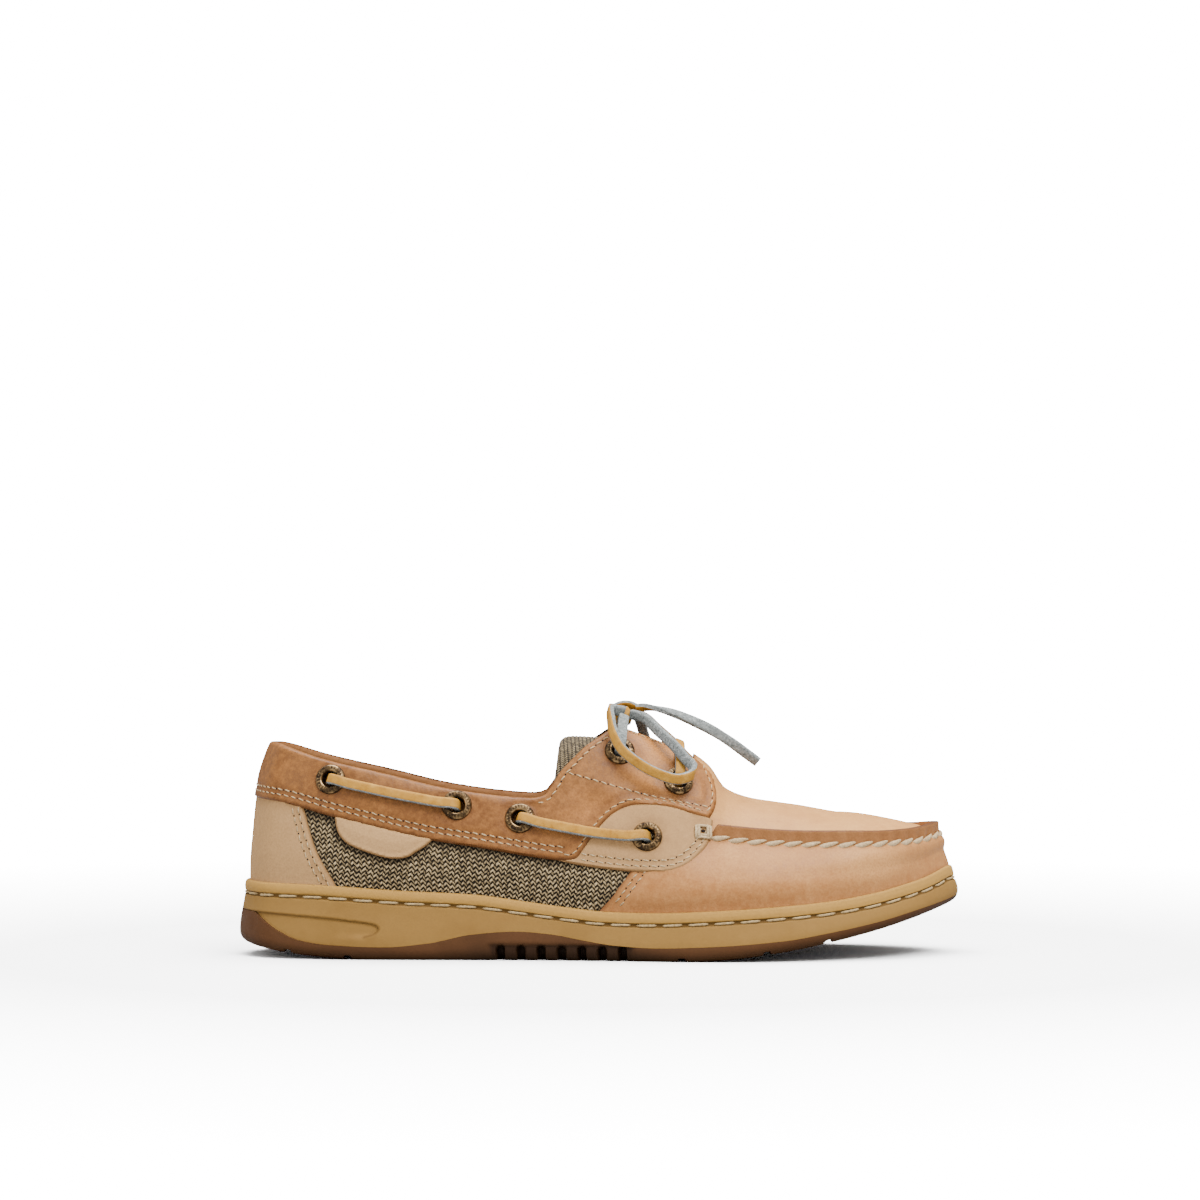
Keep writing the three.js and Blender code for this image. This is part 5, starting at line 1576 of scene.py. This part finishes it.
def build_sole_stitches():
    ws = sole_ws(0.5)
    ws = np.concatenate([ws, ws[:1] + RING])
    rim = rim_at(outline(ws, RIM_INSET)[0])
    z = rim - GROOVE_BELOW
    inset = side_inset(z, ring_x(ws), rim) + GROOVE_DEPTH - 0.45
    x, y = outline(ws, inset)
    path = np.stack([x, y, z], -1)
    out_x, out_y = outline(ws, inset - 1)
    out = unit(np.stack([out_x - x, out_y - y, 0 * x], -1))
    run = run_along(path)
    count = int(run[-1] / SOLE_STITCH_PITCH)
    t = np.linspace(0, SOLE_STITCH_LENGTH, 11)
    ticks = (np.arange(count) + 0.07)[:, None] * run[-1] / count + t[None]
    at, up = sampled(ticks, run, path), unit(sampled(ticks, run, out))
    dip = -0.9 + 1.1 * smoothstep(0, 1.6, t) * smoothstep(8.0, 6.4, t)
    at = at + up * dip[None, :, None]
    slant = 0.22 * (t / SOLE_STITCH_LENGTH - 0.5)
    at[..., 2] += slant[None]
    make("sole_stitching", *tubes(at, up, SOLE_STITCH_RADIUS, 0.8, sides=8), [SOLE_THREAD],
         "midsole_rubber", ["midsole"], sharp=0)


def build_insole():
    ws = sole_ws(1.5)
    edge = UPPER_INSET + WALL + GAP
    rows = [(edge, -0.8), (edge + 0.15, -0.25), (edge + 0.8, 0.0), (edge + 6, 0.05)]
    points = []
    for inset, drop in rows:
        x, y = outline(ws, inset + tuck_at(ws))
        points.append(np.stack([x, y, rim_at(x) - CUP_DEPTH + INSOLE_THICKNESS + drop], -1))
    points = np.stack(points, 1)
    make("sock_liner", points.reshape(-1, 3), ring_grid(points, faces_up=True), [SOCK_LEATHER],
         "sock_leather", ["insole"], {"edge": np.full(points.shape[:2], 9.0)}, sharp=0)


# Eyelets

# Section of an eyelet: radius, height over its seat, and how strong its painted highlight is
EYELET_PROFILE = [(2.75, -3.2, 0.0), (2.75, -1.0, 0.0), (2.78, 0.5, 0.4), (2.95, 1.05, 0.8),
                  (3.3, 1.38, 1.0), (3.7, 1.42, 0.6), (4.1, 1.3, 0.35), (4.5, 1.24, 0.35),
                  (4.85, 1.12, 0.6), (5.15, 0.85, 0.9), (5.42, 0.45, 0.6), (5.5, 0.1, 0.3),
                  (5.35, -0.25, 0.1)]


def build_eyelets():
    sides = 96
    profile = np.array(EYELET_PROFILE)
    angle = np.arange(sides) * 2 * np.pi / sides
    knurl = 0.5 + 0.5 * np.cos(angle * 24)
    band = bell(profile[:, 0], 4.35, 0.4) * (profile[:, 1] > 0)
    for label, rows in PLACES.items():
        for k, row in enumerate(rows):
            normal = row["normal"]
            east = unit(np.cross([0.0, 0, 1], normal))
            north = np.cross(normal, east)
            lift = profile[None, :, 1] + 0.14 * band[None] * knurl[:, None] - 0.3
            spread = profile[None, :, 0] * np.ones((sides, 1))
            points = row["point"] + spread[..., None] * (np.cos(angle)[:, None, None] * east
                                                         + np.sin(angle)[:, None, None] * north)
            points = points + lift[..., None] * normal
            # Painted highlight along the raised rims and the knurled band.
            polish_and_highlight = profile[None, :, 2] + 0.5 * band[None] * knurl[:, None]
            ids = numbered(*points.shape[:2])
            quads = strips(ids, np.roll(ids, -1, axis=0))[:, [0, 3, 2, 1]]
            make(f"ring_{label}_{k + 1}", points.reshape(-1, 3), quads.tolist(), [BRASS], "eyelet_brass",
                 [f"eyelet_{label}_{k + 1}"], {"polish_and_highlight": polish_and_highlight.reshape(-1)}, sharp=0)


# Lace

def lace_piece(name, strip, node_name):
    points, faces, indices = strip
    return make(name, points, faces, [GRAIN_SIDE, FLESH_SIDE], "lace_rawhide", [node_name], sharp=45,
                indices=indices)


def rising(place, toward, lift):
    """Places of a lace that comes up out of an eyelet and turns over its rim."""
    run = toward - place["point"]
    normal = place["normal"]
    run = unit(run - normal * run.dot(normal))
    rows = [(-0.6, -3.0, 0.0), (-0.3, -1.6, 0.05), (0.0, lift - 2.3, 0.15), (0.5, lift - 0.9, 0.4),
            (1.5, lift - 0.2, 0.75), (3.0, lift, 1.0)]
    points = [place["point"] + run * a + normal * b for a, b, _ in rows]
    faces = [unit(normal * lean - run * (1 - lean)) for _, _, lean in rows]
    return points, faces


def smooth_route(points, faces):
    curve = centripetal(points, 12)
    place = np.linspace(0, len(points) - 1, len(curve))
    return curve, unit(sampled(place, np.arange(len(points)), np.array(faces)))


LACE_LIFT = EYELET_PROUD + LACE_THICKNESS / 2 + 0.1


def build_side_lace(label, side, rear, front, name):
    a, b = PLACES[label][rear], PLACES[label][front]
    t = np.arange(1, 7) / 7
    (rear_at, rear_up, _), (front_at, front_up, _) = EYELETS[rear], EYELETS[front]
    pairs = [(mix(rear_at, front_at, k), mix(rear_up, front_up, k)) for k in t]
    w, v = locate(side, side_points(pairs), BAND_TOP + LACE_LIFT)
    dip = 1 - 0.35 * np.sin(t * np.pi)
    middle = skin(w, v, BAND_TOP + LACE_LIFT * dip)
    normals = last_normal(w, v)
    start, start_face = rising(a, middle[0], LACE_LIFT)
    end, end_face = rising(b, middle[-1], LACE_LIFT)
    path, face = smooth_route([*start, *middle, *end[::-1]], [*start_face, *normals, *end_face[::-1]])
    lace_piece(f"thong_{label}_{name}", ribbon(path, face), f"lace_{label}_{name}")


def build_crossing():
    climbs = []
    for label in ("lateral", "medial"):
        place = PLACES[label][5]
        v = mix(place["v"], place["v"] + 0.55 * (CROWN_ROW - place["v"]), np.array([0.35, 0.7, 1.0]))
        w = np.full(3, place["w"])
        rest = LACE_THICKNESS / 2 + 0.15
        climbs.append((skin(w, v, BAND_TOP + np.array([LACE_LIFT, rest, rest])), last_normal(w, v)))
    (near, near_face), (far, far_face) = climbs
    start, start_face = rising(PLACES["lateral"][5], near[0], LACE_LIFT)
    end, end_face = rising(PLACES["medial"][5], far[0], LACE_LIFT)
    points = [*start, *near, *far[::-1], *end[::-1]]
    faces = [*start_face, *near_face, *far_face[::-1], *end_face[::-1]]
    lace_piece("thong_crossing", ribbon(*smooth_route(points, faces)), "lace_crossing")


def build_riser(label, side):
    place = PLACES[label][4]
    lift = LACE_LIFT + 0.4
    knot = np.array(KNOT_CENTRE) / MM + [0, side * 4.2, -2.0]
    v = mix(place["v"], CROWN_ROW, np.array([0.3, 0.6, 0.85]) * 0.6)
    w = np.full(3, place["w"])
    climb = skin(w, v, BAND_TOP + lift)
    normals = last_normal(w, v)
    start, start_face = rising(place, climb[0], lift)
    path, face = smooth_route([*start, *climb, knot], [*start_face, *normals, normals[-1]])
    lace_piece(f"thong_{label}_riser", ribbon(path, -face), f"lace_{label}_riser")


def loop_face(path):
    """Outward direction of a loop's grain side, in the plane that the loop lies in."""
    centre = path.mean(0)
    axis = np.linalg.svd(path - centre)[2][2]
    axis = axis * np.sign(axis[2])
    run = unit(np.gradient(path, axis=0))
    out = unit(np.cross(run, axis))
    flip = np.sign((out * (path - centre)).sum(-1).sum())
    return unit(out * flip * [1, 2.6, 1])


def roll_face(path, angles):
    """Grain direction that rolls round the path: 0 is away from the viewer, 90 is up."""
    run = unit(np.gradient(path, axis=0))
    back = unit(np.cross(np.array([0.0, 0, 1]), run))
    up = np.cross(run, back)
    share_of = np.linspace(0, 1, len(path))
    angle = np.radians(np.interp(share_of, np.linspace(0, 1, len(angles)), angles))[:, None]
    return np.cos(angle) * back + np.sin(angle) * up


KNOT_WRAP = [(4.4, 1.0, 87.6), (5.0, 0.9, 89.9), (7.6, 0.7, 91.4), (10.8, 0.4, 91.5), (13.8, 0.0, 90.3)]
# Turns of the knot: axis, radius and shift from its middle
KNOT_TURNS = (((0.9, 0.1, 0.35), 2.9, (0.6, 0, -0.2)), ((0.55, -0.1, -0.8), 3.2, (-0.3, 0, 0)),
              ((0.2, 0.2, 0.95), 2.6, (0.3, 0.2, -1.2)))


def build_knot():
    """Turns of the bow's knot, with the wrap that arches over them."""
    centre = np.array(KNOT_CENTRE) / MM
    parts = []
    turn = np.linspace(0, 2 * np.pi, 40)
    for axis, radius, shift in KNOT_TURNS:
        axis = unit(np.array(axis))
        side = unit(np.cross(axis, [0.0, 1, 0]))
        other = np.cross(axis, side)
        out = np.cos(turn)[:, None] * side + np.sin(turn)[:, None] * other
        parts.append(ribbon(centre + shift + out * radius, out, LACE_WIDTH - 0.4, 1.5))
    wrap = centripetal(KNOT_WRAP, 10)
    run = unit(np.gradient(wrap, axis=0))
    parts.append(ribbon(wrap, unit(np.cross(run, [0.0, 1, 0]) * [-1, 1, -1] + [0, -0.9, 0]), 3.0, 1.7))
    points, faces = joined([(p, f) for p, f, _ in parts])
    indices = [k for _, _, part in parts for k in part]
    return lace_piece("lace_bow_knot", (points, faces, indices), "lace_knot")


def build_free_lace():
    knot = build_knot()
    rows = [("bow_loop_near", LOOP_ROUTE, "lace_loop_near", "object", None),
            ("bow_loop_far", FAR_LOOP_ROUTE, "lace_loop_far", "object", None),
            ("bow_end_near", END_ROUTE, "lace_end_near", "bare", (-135, -100, -60, -20, 15, 35)),
            ("bow_end_far", FAR_END_ROUTE, "lace_end_far", "bare", (60, 80, 90))]
    for name, route, hidden, end, angles in rows:
        points = np.array(route) / MM
        if angles is None:
            side = np.sign(points[5, 1])
            points = np.concatenate([[[8.6, KNOT_Y / MM + side * 3.6, 89.2]], points,
                                     [[11.6, KNOT_Y / MM + side * 3.6, 88.0]]])
        path = centripetal(points, 12)
        face = loop_face(path) if angles is None else roll_face(path, angles)
        piece = lace_piece(name, ribbon(path, face), hidden)


def build_lace():
    for label, side in (("lateral", -1), ("medial", 1)):
        build_side_lace(label, side, 0, 1, "rear")
        build_side_lace(label, side, 2, 3, "front")
        build_riser(label, side)
    build_crossing()


# Camera, stage and light

CAMERA_HEIGHT = 0.13
CAMERA_DISTANCE = 1.65
FOCAL = 4476.0
PHOTO_WIDTH = 1200.0
SENSOR = 36.0


def build_camera():
    data = bpy.data.cameras.new("camera")
    data.sensor_width = SENSOR
    data.lens = FOCAL / PHOTO_WIDTH * SENSOR
    data.clip_end = 50
    camera = add("camera", data)
    camera.location = (0, -CAMERA_DISTANCE, CAMERA_HEIGHT)
    camera.rotation_euler = (math.pi / 2, 0, 0)
    bpy.context.scene.camera = camera


def area_light(name, place, aim, size, energy, only=None):
    data = bpy.data.lights.new(name, "AREA")
    data.shape = "RECTANGLE"
    data.size, data.size_y = size
    data.energy = energy
    light = add(name, data)
    light.location = place
    direction = Vector(aim) - Vector(place)
    light.rotation_euler = direction.to_track_quat("-Z", "Y").to_euler()
    if only:
        group = bpy.data.collections.new(f"{name}_receivers")
        group.objects.link(only)
        light.light_linking.receiver_collection = group


def build_stage():
    width, depth, radius, height = 8.0, 3.0, 1.2, 5.0
    turn = np.linspace(0, np.pi / 2, 13)
    profile = [(-4.0, 0.0)] + [(depth + radius * np.sin(a), radius - radius * np.cos(a)) for a in turn]
    profile.append((depth + radius, height))
    points = [(x, y, z) for y, z in profile for x in (-width / 2, width / 2)]
    faces = [(2 * k, 2 * k + 1, 2 * k + 3, 2 * k + 2) for k in range(len(profile) - 1)]
    mesh = bpy.data.meshes.new("studio_floor")
    mesh.from_pydata(points, [], faces)
    mesh.polygons.foreach_set("use_smooth", np.ones(len(faces), bool))
    mesh.materials.append(paper("studio_paper"))
    floor = add("studio_floor", mesh)
    return floor


def paper(name):
    """Bright paper that throws little light back and glows softly away from the shoe."""
    material, tree, shader = make_tree(name)
    seen = node(tree, "ShaderNodeLightPath").outputs["Is Camera Ray"]
    white = ramp(tree, noise(tree, 3), [(0.3, (0.92, 0.92, 0.92)), (0.7, (0.94, 0.94, 0.94))])
    where = node(tree, "ShaderNodeTexCoord").outputs["Object"]
    away = node(tree, "ShaderNodeVectorMath", {0: where}, operation="LENGTH").outputs["Value"]
    glow = remap(tree, away, 0.22, 0.9, 0.0, 18.0)
    shine = node(tree, "ShaderNodeMath", {0: glow, 1: seen}, operation="MULTIPLY").outputs[0]
    plug(tree, shader, {"Base Color": blend(tree, seen, (0.17, 0.17, 0.17), white), "Roughness": 0.9,
                        "Emission Strength": shine, "Emission Color": (1, 1, 1, 1),
                        "Specular IOR Level": 0.1})
    return material


def build_lights(floor):
    world = bpy.data.worlds.new("studio")
    world.use_nodes = True
    background = world.node_tree.nodes["Background"]
    background.inputs["Color"].default_value = (1, 1, 1, 1)
    background.inputs["Strength"].default_value = 1.0
    bpy.context.scene.world = world
    area_light("key", (0.55, -0.95, 1.45), (0, 0, 0.03), (1.0, 0.8), 52)
    area_light("top", (0.0, 0.25, 1.6), (0, 0, 0), (1.4, 1.0), 60)
    area_light("fill", (-1.2, -1.2, 0.7), (0, 0, 0.05), (1.2, 1.0), 10)
    area_light("floor_wash", (0.0, 0.0, 2.0), (0, 0, 0), (2.6, 2.6), 220, only=floor)


build_camera()
build_free_lace()
build_outsole()
build_midsole()
build_sole_stitches()
build_insole()
build_base()
build_lining()
build_quarters()
build_vamp()
build_plug()
build_lip()
build_moc_thread()
build_saddles()
build_counter()
build_tab()
build_band()
build_tongue()
build_eyelets()
build_lace()
build_stitches()
build_bar_tacks()
build_lights(build_stage())
